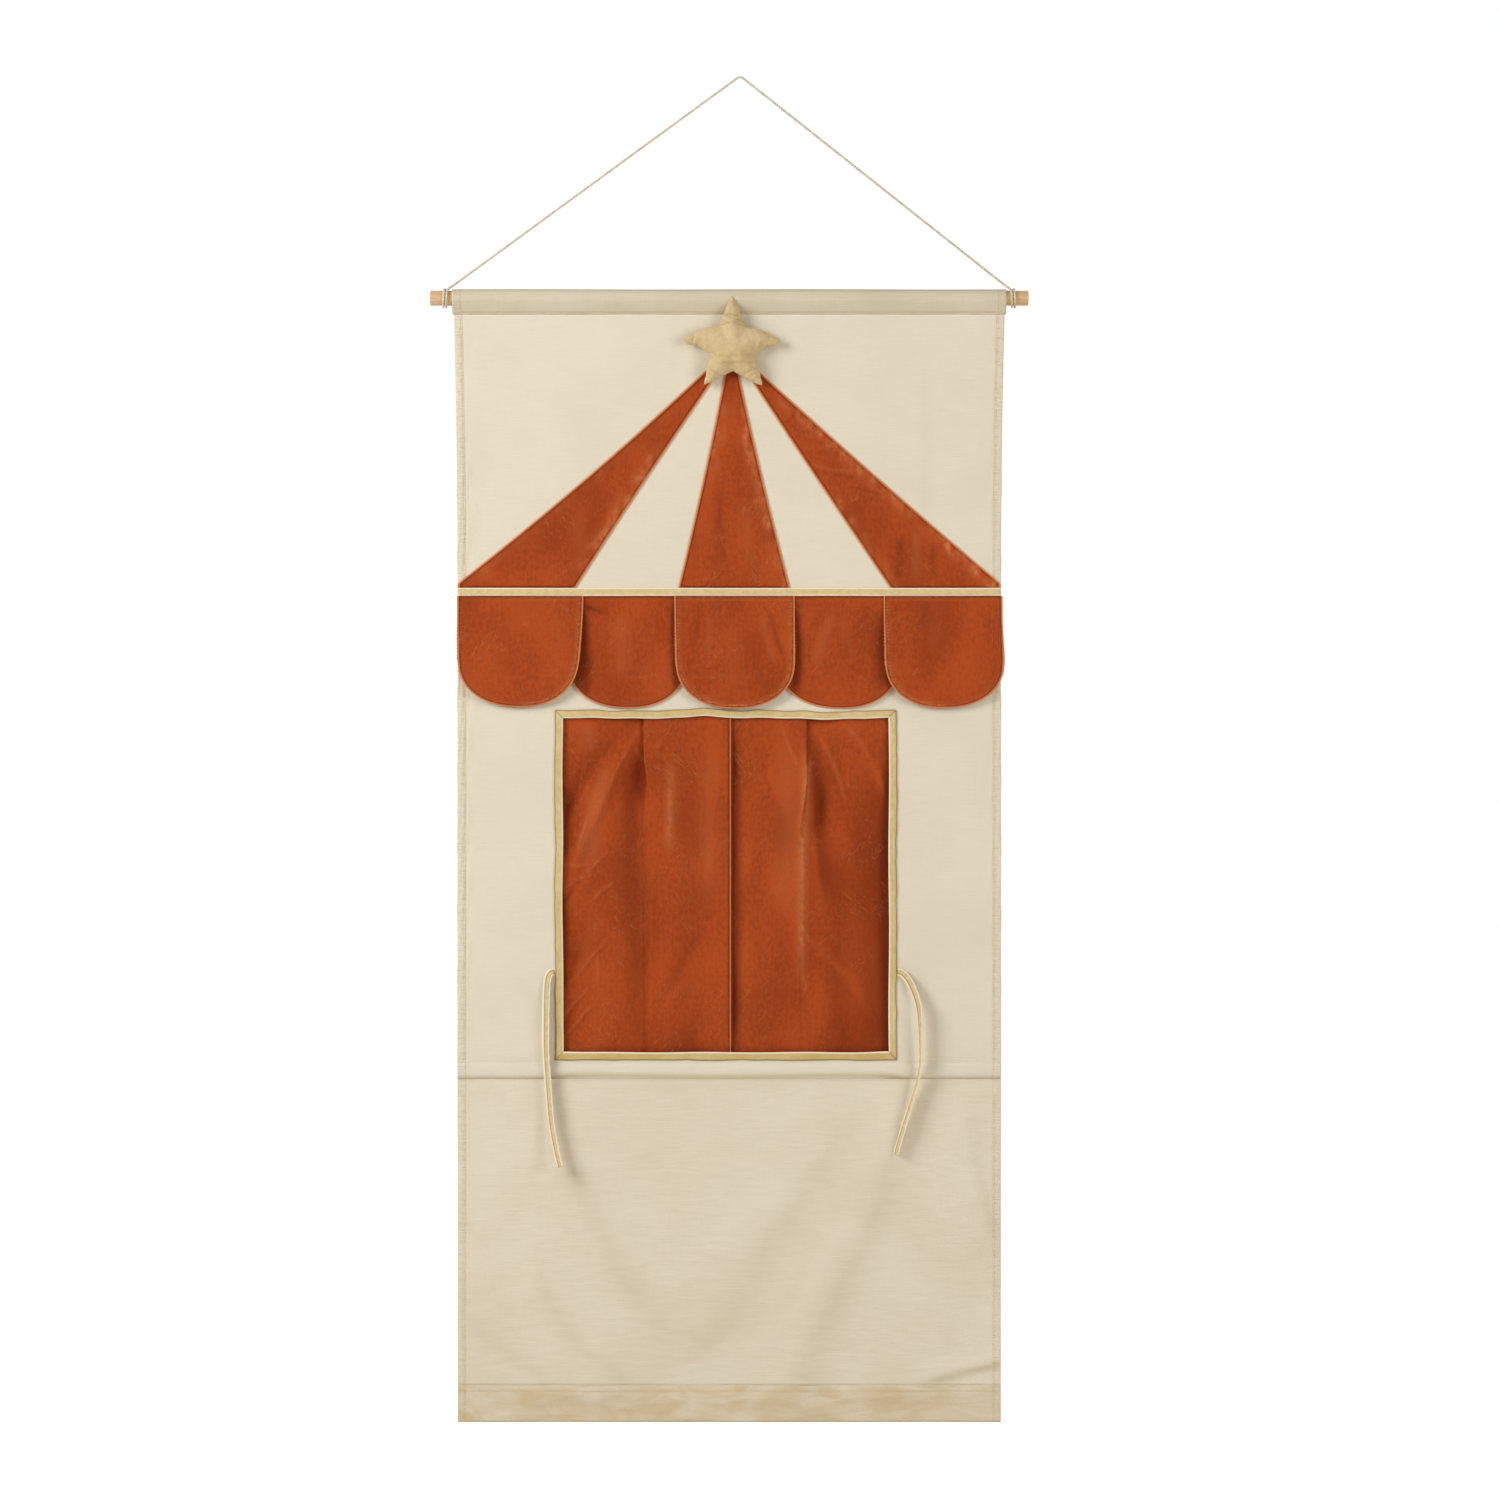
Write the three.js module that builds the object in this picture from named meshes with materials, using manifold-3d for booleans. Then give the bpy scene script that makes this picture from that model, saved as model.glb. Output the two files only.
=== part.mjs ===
// A hanging puppet theatre: a sewn cloth banner on a wooden dowel, hung from a cotton cord.
// Millimetres, +Z up, front towards -Y. The origin is the underside of the cord where it is hung up.
// Drops are measured down from the dowel's axis, and offsets along X from the dowel's middle.
import * as THREE from "three";
import { mergeVertices } from "three/addons/utils/BufferGeometryUtils.js";
import Module from "manifold-3d";

const wasm = await Module();
wasm.setup();

// Hanger: a stock dowel on a cotton cord
const dowelDiameter = 20;
const dowelLength = 800;
const dowelChamfer = 0.8;
const hangDrop = 294;
const hangOffset = 14.4;
const cordDiameter = 3.2;
const wrapInset = 18.5;
const wrapPitch = 3.9;
const tailLength = 8.4;
const knotDiameter = 7.6;
const knotEndDiameter = 4.6;
const knotLength = 8.4;

// Cloth, and the clearance between layers that touch
const clothThickness = 1.2;
const clothGap = 0.3;
const sideHemWidth = 10.7;
const weldDistance = 0.0001;

// Rod sleeve and ground panel
const sleeveWidth = 741;
const sleeveSeamDrop = 21.8;
const sleeveTailHeight = 3;
const panelTopWidth = 737;
const bannerWidth = 727;
const waistDrop = 386;
const sillDrop = 1045;
const bannerDrop = 1504;

// Tent roof and the tape along its eaves
const roofApexDrop = 69;
const roofApexOffset = 3.7;
const eavesDrop = 387.5;
const eavesTapeHeight = 10.7;

// Scallops of the valance
const scallopLength = 151;
const scallopRound = 88;

// Stage window and its binding
const windowWidth = 436;
const windowHeight = 447;
const windowTopDrop = 561.7;
const windowOffset = -4.6;
const bindingWidth = 10.7;

// Curtains behind the window
const curtainMargin = 20;
const curtainHead = 15;
const curtainFoot = 5.5;
const curtainLap = 12;
const lapEdgeOffset = 7;
const lapStep = 2.4;
const lapRun = 22;
const pleatTuck = 18;
const pleatBend = 1.6;
const curtainWave = 5;

// Casing under the window, with its spreader bar
const casingHeight = 22;
const casingTailHeight = 2;
const barDiameter = 10;
const barLength = 719;
const barSetback = 3.4;

// Skirt below the casing
const bottomHemHeight = 50;
const skirtWave = 7;

// Stuffed star
const starRadius = 66;
const starDrop = 66.5;
const starOffset = 4.7;
const starThickness = 34;

// Curtain ties
const tieWidth = 11;
const tieThickness = 1.6;

// Shares of the sizes above, chosen by eye
const roofRayShares = [
  { name: "left", outer: -1.008, inner: -0.578, bow: 0.018 },
  { name: "centre", outer: -0.1925, inner: 0.2113, bow: 0 },
  { name: "right", outer: 0.988, inner: 0.584, bow: 0.012 },
];
const roofTopShare = 0.06;
const scallopShares = [
  { centre: -0.769, width: 0.2325, layer: 2 },
  { centre: -0.3725, width: 0.2215, layer: 1 },
  { centre: 0.0195, width: 0.2215, layer: 2 },
  { centre: 0.4154, width: 0.2215, layer: 1 },
  { centre: 0.7865, width: 0.2187, layer: 2 },
];
const starTipShares = [1.04, 0.99, 0.97, 0.94, 1.03];
const starNotchShares = [0.55, 0.49, 0.5, 0.49, 0.57];
const starRingShares = [0.97, 0.9, 0.79, 0.62, 0.38];
const starFlatShare = 0.86;
const starSideBulgeShare = 0.03;
const starCrown = { fall: 2.2, fullness: 0.6, likeness: 0.35 };
const pleatPlaceShares = { left: 0.528, right: 0.54 };
const pleatOpenShare = 0.66;
const pleatHoldShare = 0.3;
const pleatTuckLossShare = 0.72;
const pleatBendGainShare = 2;
const curtainEdgeShare = 0.15;
const curtainWaveLeanShare = 0.35;
const knotWaistShare = 0.86;
const skirtFoldShares = [
  { place: 0.83, lean: -0.32, width: 0.045, depth: 1 },
  { place: 0.93, lean: -0.05, width: 0.05, depth: -0.6 },
  { place: 0.62, lean: -0.12, width: 0.1, depth: -0.7 },
  { place: 0.3, lean: 0.1, width: 0.08, depth: 0.7 },
  { place: 0.12, lean: 0.05, width: 0.06, depth: -0.6 },
];

// Counts
const dowelSides = 32;
const tunnelSides = 24;
const cordSides = 8;
const cordStepsPerPoint = 3;
const wrapSides = 6;
const loopSteps = 24;
const bendSteps = 8;
const knotSides = 14;
const edgeSteps = 4;
const scallopSteps = 14;
const pleatColumns = { outer: 9, bend: 5, middle: 3, inner: 16 };
const curtainRows = 14;
const curtainWaves = 3.5;
const skirtColumns = 22;
const skirtRows = 12;
const starSideSteps = 4;

// The cord's route from the left winding over the hang point to the right winding
const cordRoute = [
  [-378.2, 0, -272.9],
  [-371.3, 0, -267.9],
  [-332.5, 0, -239.6],
  [-259.9, 0, -186.5],
  [-179.1, 0, -127.5],
  [-98.4, 0, -68.6],
  [-33.8, 0, -21.4],
  [-15.4, 0, -8.0],
  [-7.4, 0, -2.1],
  [-4.1, 0, 0.3],
  [-2.2, 0, 1.3],
  [0, 0, 1.6],
  [2.2, 0, 1.3],
  [4.3, 0, 0.1],
  [7.5, 0, -2.4],
  [15.3, 0, -8.6],
  [77.7, 0, -57.9],
  [156.1, 0, -119.9],
  [234.5, 0, -182.0],
  [305.1, 0, -237.8],
  [342.8, 0, -267.6],
  [349.5, 0, -272.8],
];

// The ties' routes, measured from the dowel's middle, from the window binding down to the free end
const tieRoutes = {
  left: [
    [-234.4, -2.0, -901.0],
    [-238.4, -2.8, -901.8],
    [-242.4, -4.4, -908.0],
    [-244.0, -6.0, -919.0],
    [-244.8, -7.0, -940.0],
    [-245.1, -8.0, -970.0],
    [-245.1, -8.6, -1002.0],
    [-243.8, -8.8, -1030.0],
    [-241.4, -9.2, -1062.0],
    [-237.8, -10.0, -1103.0],
    [-231.7, -12.5, -1137.0],
    [-225.7, -17.0, -1161.0],
  ],
  right: [
    [225.2, -2.0, -902.0],
    [230.0, -3.0, -902.8],
    [239.0, -6.0, -912.0],
    [246.7, -9.5, -928.0],
    [252.4, -12.4, -947.0],
    [254.7, -13.6, -973.0],
    [255.6, -13.8, -1002.0],
    [255.2, -13.2, -1024.0],
    [251.8, -11.6, -1045.0],
    [244.8, -9.6, -1070.0],
    [236.2, -8.0, -1098.0],
    [227.8, -6.4, -1126.0],
    [222.5, -5.4, -1145.0],
  ],
};
const tieTwists = { left: [0, 12, 25], right: [0, 72, 18] };

// Layers of cloth in front of the panel and behind it
const panelFront = -clothThickness / 2;
const panelBack = clothThickness / 2;
const layerPitch = clothThickness + clothGap;
const frontLayerBack = (layer) => panelFront - clothGap - (layer - 1) * layerPitch;
const frontLayerFace = (layer) => panelFront - layer * layerPitch;
const curtainPlane = panelBack + layerPitch + clothGap + clothThickness / 2;
const casingTopDrop = sillDrop - casingHeight;
const valanceDrop = eavesDrop + eavesTapeHeight + clothGap;

const looks = {
  wood: { color: 0xdcb98a, roughness: 0.55 },
  cord: { color: 0xd8cdb8, roughness: 0.9 },
  canvas: { color: 0xe4dac2, roughness: 0.95 },
  sleeve: { color: 0xd4c7aa, roughness: 0.95 },
  rustVelvet: { color: 0xa44720, roughness: 0.85 },
  sandVelvet: { color: 0xcdb484, roughness: 0.85 },
  sandTape: { color: 0xd8bf89, roughness: 0.9 },
};

function piece(name, geometry, look) {
  const mesh = new THREE.Mesh(geometry, new THREE.MeshStandardMaterial({ ...look, metalness: 0 }));
  mesh.name = name;
  return mesh;
}

function smoothStep(low, high, value) {
  return THREE.MathUtils.smoothstep(value, low, high);
}

// A closed geometry as a solid that can be joined and cut
function toSolid(geometry) {
  const bare = geometry.clone();
  bare.deleteAttribute("normal");
  bare.deleteAttribute("uv");
  const merged = mergeVertices(bare, weldDistance);
  return new wasm.Manifold(
    new wasm.Mesh({
      numProp: 3,
      vertProperties: merged.attributes.position.array,
      triVerts: Uint32Array.from(merged.index.array),
    }),
  );
}

function fromSolid(solid) {
  const mesh = solid.getMesh();
  const geometry = new THREE.BufferGeometry();
  geometry.setAttribute("position", new THREE.BufferAttribute(mesh.vertProperties, 3));
  geometry.setIndex(new THREE.BufferAttribute(mesh.triVerts, 1));
  geometry.computeVertexNormals();
  return geometry;
}

function join(...geometries) {
  return fromSolid(geometries.map(toSolid).reduce((whole, part) => whole.add(part)));
}

// Turns every face round if the closed surface points inwards
function facingOut(positions, indices) {
  const corner = (index) => new THREE.Vector3().fromArray(positions, index * 3);
  let volume = 0;
  for (let i = 0; i < indices.length; i += 3) {
    const [a, b, c] = indices.slice(i, i + 3).map(corner);
    volume += a.dot(b.cross(c));
  }
  const faces = volume < 0 ? indices.toReversed() : indices;
  const geometry = new THREE.BufferGeometry();
  geometry.setAttribute("position", new THREE.Float32BufferAttribute(positions, 3));
  geometry.setIndex(faces);
  geometry.computeVertexNormals();
  return geometry;
}

// A flat shape drawn in X and Z, given a thickness; its back lies at Y = 0
function uprightSheet(shape, thickness, curveSegments = 1) {
  const settings = { depth: thickness, bevelEnabled: false, curveSegments };
  return new THREE.ExtrudeGeometry(shape, settings).rotateX(Math.PI / 2);
}

// A section drawn in Y and Z, run along X about the middle
function runAlongX(shape, length) {
  const settings = { depth: length, bevelEnabled: false, curveSegments: 1 };
  return new THREE.ExtrudeGeometry(shape, settings)
    .translate(0, 0, -length / 2)
    .rotateX(Math.PI / 2)
    .rotateZ(Math.PI / 2);
}

function shapeOf(points) {
  return new THREE.Shape(points.map(([across, up]) => new THREE.Vector2(across, up)));
}

// A closed round tube along points, with flat ends
function tubeAlong(points, radius, sides) {
  const positions = [];
  const indices = [];
  let across = null;
  points.forEach((point, ring) => {
    const before = points[Math.max(ring - 1, 0)];
    const after = points[Math.min(ring + 1, points.length - 1)];
    const along = after.clone().sub(before).normalize();
    across ??= new THREE.Vector3(0, 1, 0).cross(along);
    across.addScaledVector(along, -across.dot(along)).normalize();
    const third = along.clone().cross(across);
    for (let side = 0; side < sides; side++) {
      const turn = (side / sides) * 2 * Math.PI;
      const place = point
        .clone()
        .addScaledVector(across, radius * Math.cos(turn))
        .addScaledVector(third, radius * Math.sin(turn));
      positions.push(...place);
    }
  });
  for (let ring = 0; ring + 1 < points.length; ring++) {
    for (let side = 0; side < sides; side++) {
      const a = ring * sides + side;
      const b = ring * sides + ((side + 1) % sides);
      indices.push(a, b, b + sides, a, b + sides, a + sides);
    }
  }
  const last = (points.length - 1) * sides;
  for (let side = 1; side + 1 < sides; side++) {
    indices.push(0, side + 1, side);
    indices.push(last, last + side, last + side + 1);
  }
  return facingOut(positions, indices);
}

// A closed sheet from a grid of middle points; faceAt and backAt give how far its two faces stand off
function clothSolid(rows, faceAt, backAt) {
  const rowCount = rows.length;
  const columnCount = rows[0].length;
  const normalAt = (row, column) => {
    const left = rows[row][Math.max(column - 1, 0)];
    const right = rows[row][Math.min(column + 1, columnCount - 1)];
    const above = rows[Math.max(row - 1, 0)][column];
    const below = rows[Math.min(row + 1, rowCount - 1)][column];
    return right.clone().sub(left).cross(above.clone().sub(below)).normalize();
  };
  const positions = [];
  for (const offsetAt of [faceAt, (row, column) => -backAt(row, column)]) {
    rows.forEach((line, row) => {
      line.forEach((point, column) => {
        const normal = normalAt(row, column);
        positions.push(...point.clone().addScaledVector(normal, offsetAt(row, column)));
      });
    });
  }
  const back = rowCount * columnCount;
  const indices = [];
  const quad = (a, b, c, d) => indices.push(a, b, c, a, c, d);
  for (let row = 0; row + 1 < rowCount; row++) {
    for (let column = 0; column + 1 < columnCount; column++) {
      const a = row * columnCount + column;
      const below = a + columnCount;
      quad(a, below, below + 1, a + 1);
      quad(back + a, back + a + 1, back + below + 1, back + below);
    }
  }
  const rim = [];
  for (let column = 0; column < columnCount; column++) rim.push(column);
  for (let row = 1; row < rowCount; row++) rim.push(row * columnCount + columnCount - 1);
  for (let column = columnCount - 2; column >= 0; column--) {
    rim.push((rowCount - 1) * columnCount + column);
  }
  for (let row = rowCount - 2; row > 0; row--) rim.push(row * columnCount);
  rim.forEach((a, i) => {
    const b = rim[(i + 1) % rim.length];
    quad(a, b, back + b, back + a);
  });
  return facingOut(positions, indices);
}

// Convex outline round a circle and some points beyond it, as of cloth pulled round a rod
function stretchedRound(centreY, centreZ, radius, tips) {
  const points = [...tips];
  for (let side = 0; side < tunnelSides; side++) {
    const turn = (side / tunnelSides) * 2 * Math.PI;
    points.push([centreY + radius * Math.cos(turn), centreZ + radius * Math.sin(turn)]);
  }
  points.sort((a, b) => a[0] - b[0] || a[1] - b[1]);
  const turns = (a, b, c) => (b[0] - a[0]) * (c[1] - a[1]) - (b[1] - a[1]) * (c[0] - a[0]) > 0;
  const halfOutline = (ordered) => {
    const line = [];
    for (const point of ordered) {
      while (line.length > 1 && !turns(line.at(-2), line.at(-1), point)) line.pop();
      line.push(point);
    }
    return line.slice(0, -1);
  };
  return [...halfOutline(points), ...halfOutline(points.toReversed())];
}

// The circle through the corners of a polygon whose sides clear the radius
const clearingRadius = (radius) => radius / Math.cos(Math.PI / tunnelSides);

function dowel() {
  const radius = dowelDiameter / 2;
  const half = dowelLength / 2;
  const profile = [
    [0, -half],
    [radius - dowelChamfer, -half],
    [radius, -half + dowelChamfer],
    [radius, half - dowelChamfer],
    [radius - dowelChamfer, half],
    [0, half],
  ];
  const points = profile.map(([r, along]) => new THREE.Vector2(r, along));
  const turned = new THREE.LatheGeometry(points, dowelSides).rotateZ(Math.PI / 2);
  const mesh = piece("dowel", turned, looks.wood);
  mesh.position.set(-hangOffset, 0, -hangDrop);
  return mesh;
}

// A curve whose steps follow its points, so bends with close points get short steps
class RoutedCurve extends THREE.CatmullRomCurve3 {
  getUtoTmapping(share) {
    return share;
  }
}

const cordPoints = cordRoute.map((point) => new THREE.Vector3(...point));

function hangingCord() {
  const section = new THREE.Shape();
  section.absarc(0, 0, cordDiameter / 2, 0, 2 * Math.PI, false);
  const settings = {
    steps: (cordRoute.length - 1) * cordStepsPerPoint,
    curveSegments: cordSides / 2,
    extrudePath: new RoutedCurve(cordPoints, false, "centripetal"),
  };
  return piece("hanging_cord", new THREE.ExtrudeGeometry(section, settings), looks.cord);
}

// Centreline of the winding at one end: straight off the cord, over the dowel and twice round it
function wrapPath(side) {
  const [end, next] = side < 0 ? cordPoints : cordPoints.toReversed();
  const outward = end.clone().sub(next).normalize();
  const start = end.clone().addScaledVector(outward, clothGap);
  const radius = dowelDiameter / 2 + clothGap + cordDiameter / 2;
  const frontOfOuterTurn = 450;
  const onTurn = (degrees) => {
    const turn = THREE.MathUtils.degToRad(degrees);
    const outerTurn = dowelLength / 2 - wrapInset;
    const x = outerTurn + (wrapPitch * (degrees - frontOfOuterTurn)) / 360;
    return new THREE.Vector3(
      -hangOffset + side * x,
      -radius * Math.sin(turn),
      -hangDrop + radius * Math.cos(turn),
    );
  };
  const firstTurn = 45;
  const lastTurn = 585;
  const points = [start, start.clone().addScaledVector(outward, cordDiameter)];
  const bendStart = points[1];
  const bendEnd = onTurn(firstTurn);
  const bendReach = bendStart.distanceTo(bendEnd) / 3;
  const turnStep = 360 / loopSteps;
  const landing = onTurn(firstTurn + 1).sub(bendEnd).normalize();
  const bend = new THREE.CubicBezierCurve3(
    bendStart,
    bendStart.clone().addScaledVector(outward, bendReach),
    bendEnd.clone().addScaledVector(landing, -bendReach),
    bendEnd,
  );
  points.push(...bend.getPoints(bendSteps).slice(1));
  for (let degrees = firstTurn + turnStep; degrees <= lastTurn; degrees += turnStep) {
    points.push(onTurn(degrees));
  }
  const tail = onTurn(lastTurn).sub(onTurn(lastTurn - 1)).normalize();
  points.push(points.at(-1).clone().addScaledVector(tail, tailLength - cordDiameter));
  points.push(points.at(-1).clone().addScaledVector(tail, cordDiameter));
  return { points, tail };
}

// Least distance between stretches of a tube that are half a turn or more apart
function leastGap(points) {
  const apart = loopSteps / 2;
  let least = Infinity;
  points.forEach((point, i) => {
    for (const other of points.slice(i + apart)) {
      least = Math.min(least, point.distanceTo(other) - cordDiameter);
    }
  });
  return least;
}

function knotProfile() {
  const end = knotEndDiameter / 2;
  const full = knotDiameter / 2;
  const waist = full * knotWaistShare;
  const outlineShares = [
    [0, 0, 0],
    [1, 0, 0],
    [0, 0.93, 0.12],
    [0, 1, 0.27],
    [0, 0.95, 0.42],
  ];
  const half = outlineShares.map(([atEnd, atFull, along]) => [
    end * atEnd + full * atFull,
    knotLength * along,
  ]);
  const mirrored = half.toReversed().map(([radius, along]) => [radius, knotLength - along]);
  return [...half, [waist, knotLength / 2], ...mirrored].map((point) => new THREE.Vector2(...point));
}

function winding(name, side) {
  const { points, tail } = wrapPath(side);
  console.log(`cord_wrap_${name}: least gap to itself ${leastGap(points).toFixed(2)} mm`);
  const wrap = piece(
    `cord_wrap_${name}`,
    tubeAlong(points, cordDiameter / 2, wrapSides),
    looks.cord,
  );
  const knot = piece(
    `knot_${name}`,
    new THREE.LatheGeometry(knotProfile(), knotSides),
    looks.cord,
  );
  knot.position.copy(points.at(-1)).addScaledVector(tail, clothGap);
  knot.quaternion.setFromUnitVectors(new THREE.Vector3(0, 1, 0), tail);
  return [wrap, knot];
}

// Half the banner's width at a drop: it flares a little towards the sleeve
function halfWidthAt(drop) {
  const rise = Math.max(waistDrop - drop, 0) / (waistDrop - sleeveSeamDrop);
  return bannerWidth / 2 + ((panelTopWidth - bannerWidth) / 2) * rise * rise;
}

function rodSleeve() {
  const inner = dowelDiameter / 2 + clothGap;
  const tail = sleeveSeamDrop - sleeveTailHeight;
  const outline = stretchedRound(0, 0, clearingRadius(inner) + clothThickness, [
    [-clothThickness, -sleeveSeamDrop],
    [clothThickness, -sleeveSeamDrop],
    [-clothThickness, -tail],
    [clothThickness, -tail],
  ]);
  const bore = stretchedRound(0, 0, clearingRadius(inner), [[0, -tail]]);
  const shape = shapeOf(outline);
  shape.holes.push(shapeOf(bore));
  return piece("rod_sleeve", runAlongX(shape, sleeveWidth), looks.sleeve);
}

// Points down one side of the banner, set in from its edge
function edgeLine(side, inset, top, bottom) {
  const line = [];
  for (let step = 0; step <= edgeSteps; step++) {
    const drop = top + ((Math.min(waistDrop, bottom) - top) * step) / edgeSteps;
    line.push([side * (halfWidthAt(drop) - inset), -drop]);
  }
  line.push([side * (halfWidthAt(bottom) - inset), -bottom]);
  return line;
}

function windowOutline(outset) {
  const halfWidth = windowWidth / 2 + outset;
  const top = -windowTopDrop + outset;
  const bottom = -windowTopDrop - windowHeight - outset;
  return shapeOf([
    [windowOffset - halfWidth, bottom],
    [windowOffset + halfWidth, bottom],
    [windowOffset + halfWidth, top],
    [windowOffset - halfWidth, top],
  ]);
}

function frontPanel() {
  const top = sleeveSeamDrop + clothGap;
  const bottom = casingTopDrop - clothGap;
  const ground = shapeOf([
    ...edgeLine(-1, 0, top, bottom),
    ...edgeLine(1, 0, top, bottom).toReversed(),
  ]);
  ground.holes.push(windowOutline(clothThickness + clothGap));
  const hems = [-1, 1].map((side) => {
    const strip = shapeOf([
      ...edgeLine(side, 0, top, bottom),
      ...edgeLine(side, sideHemWidth, top, bottom).toReversed(),
    ]);
    return uprightSheet(strip, 2 * clothThickness).translate(0, panelBack + clothThickness, 0);
  });
  const sheet = uprightSheet(ground, clothThickness).translate(0, panelBack, 0);
  return piece("front_panel", join(sheet, ...hems), looks.canvas);
}

// A stripe of the roof between two rays from the apex
function roofStripe(ray) {
  const along = (share, bow, rise) => {
    const sag = Math.sign(share) * bow * 4 * rise * (1 - rise);
    const x = roofApexOffset + (bannerWidth / 2) * (share * rise - sag);
    return [x, -roofApexDrop - (eavesDrop - roofApexDrop) * rise];
  };
  const outer = [];
  for (let step = 0; step <= edgeSteps; step++) {
    const rise = roofTopShare + ((1 - roofTopShare) * step) / edgeSteps;
    outer.push(along(ray.outer, ray.bow, rise));
  }
  const inner = [along(ray.inner, 0, 1), along(ray.inner, 0, roofTopShare)];
  const stripe = uprightSheet(shapeOf([...outer, ...inner]), clothThickness);
  const mesh = piece(`roof_stripe_${ray.name}`, stripe, looks.rustVelvet);
  mesh.position.y = frontLayerBack(1);
  return mesh;
}

function roofBinding() {
  const half = bannerWidth / 2;
  const strip = shapeOf([
    [-half, -eavesTapeHeight],
    [half, -eavesTapeHeight],
    [half, 0],
    [-half, 0],
  ]);
  const mesh = piece("roof_binding", uprightSheet(strip, clothThickness), looks.sandTape);
  mesh.position.set(0, frontLayerBack(1), -eavesDrop - clothGap);
  return mesh;
}

function scallop(share, index) {
  const half = (bannerWidth * share.width) / 2;
  const straight = scallopLength - scallopRound;
  const shape = new THREE.Shape();
  shape.moveTo(half, 0);
  shape.lineTo(-half, 0);
  shape.lineTo(-half, -straight);
  shape.absellipse(0, -straight, half, scallopRound, Math.PI, 2 * Math.PI, false);
  const flap = uprightSheet(shape, clothThickness, scallopSteps);
  const mesh = piece(`scallop_${index + 1}`, flap, looks.rustVelvet);
  mesh.position.set(
    (bannerWidth / 2) * share.centre,
    frontLayerBack(share.layer),
    -valanceDrop,
  );
  return mesh;
}

// Folded tape along one side of the window: a front leg, a web over the raw edge and a back leg
function bindingStrip(name, quarterTurns) {
  const upright = quarterTurns % 2 === 1;
  const halfLength = (upright ? windowHeight : windowWidth) / 2;
  const reach = (upright ? windowWidth : windowHeight) / 2;
  const mitre = clothGap * Math.SQRT1_2;
  const leg = (width, thickness, back) => {
    const shape = shapeOf([
      [-halfLength + mitre, 0],
      [halfLength - mitre, 0],
      [halfLength + width - mitre, width],
      [-halfLength - width + mitre, width],
    ]);
    return uprightSheet(shape, thickness).translate(0, back, 0);
  };
  const legBack = panelBack + layerPitch;
  const tape = join(
    leg(bindingWidth, clothThickness, frontLayerBack(1)),
    leg(bindingWidth, clothThickness, legBack),
    leg(clothThickness, legBack - frontLayerFace(1), legBack),
  );
  tape.translate(0, 0, reach).rotateY((quarterTurns * Math.PI) / 2);
  const mesh = piece(`window_binding_${name}`, tape, looks.sandTape);
  mesh.position.set(windowOffset, 0, -windowTopDrop - windowHeight / 2);
  return mesh;
}

// One level of a curtain, from its outer edge to its inner edge: a pleat folded back under itself at
// the top, which opens and turns into soft waves further down
function curtainLine(width, place, fall) {
  const opening = pleatOpenShare * smoothStep(pleatHoldShare, 1, fall);
  const turn = Math.PI * (1 - opening);
  const tuck = pleatTuck * (1 - pleatTuckLossShare * fall);
  const bend = pleatBend * (1 + pleatBendGainShare * opening);
  const outer = width * place + tuck;
  const inner = width * (1 - place);
  const depth = 2 * bend * (1 - Math.cos(turn)) + tuck * Math.sin(turn);
  const line = [];
  let x = 0;
  let y = 0;
  const go = (length, steps, headingAt) => {
    for (let step = 0; step < steps; step++) {
      const heading = headingAt((step + 0.5) / steps);
      x += (length / steps) * Math.cos(heading);
      y -= (length / steps) * Math.sin(heading);
      line.push([x, y]);
    }
  };
  line.push([0, 0]);
  go(outer, pleatColumns.outer, () => 0);
  go(bend * turn, pleatColumns.bend, (share) => turn * share);
  go(tuck, pleatColumns.middle, () => turn);
  go(bend * turn, pleatColumns.bend, (share) => turn * (1 - share));
  go(inner, pleatColumns.inner, () => 0);
  return line.map(([across, back], column) => {
    const share = column / (line.length - 1);
    const onOuter = column <= pleatColumns.outer;
    const settled = onOuter ? depth * smoothStep(0, 1, column / pleatColumns.outer) : depth;
    const fade = smoothStep(0, curtainEdgeShare, Math.min(share, 1 - share));
    const phase = curtainWaves * share - curtainWaveLeanShare * fall;
    const wave = (1 - Math.cos(2 * Math.PI * phase)) / 2;
    const pull = curtainWave * fall * fade * wave;
    return [(across * width) / x, back + settled + pull];
  });
}

function curtain(name, side) {
  const windowEdge = windowWidth / 2 + curtainMargin;
  const innerEdge = side < 0 ? lapEdgeOffset : lapEdgeOffset - curtainLap;
  const width = windowEdge - side * innerEdge;
  const height = curtainHead + windowHeight + curtainFoot;
  const rows = [];
  for (let row = 0; row <= curtainRows; row++) {
    const fall = row / curtainRows;
    rows.push(
      curtainLine(width, pleatPlaceShares[name], fall).map(([across, back]) => {
        const fromInner = width - across;
        const underLap = 1 - smoothStep(curtainLap, curtainLap + lapRun, fromInner);
        const behind = side > 0 ? lapStep * underLap : 0;
        return new THREE.Vector3(side * (windowEdge - across), back + behind, -height * fall);
      }),
    );
  }
  const half = () => clothThickness / 2;
  const mesh = piece(`curtain_${name}`, clothSolid(rows, half, half), looks.rustVelvet);
  mesh.position.set(windowOffset, curtainPlane, curtainHead - windowTopDrop);
  return mesh;
}

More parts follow.
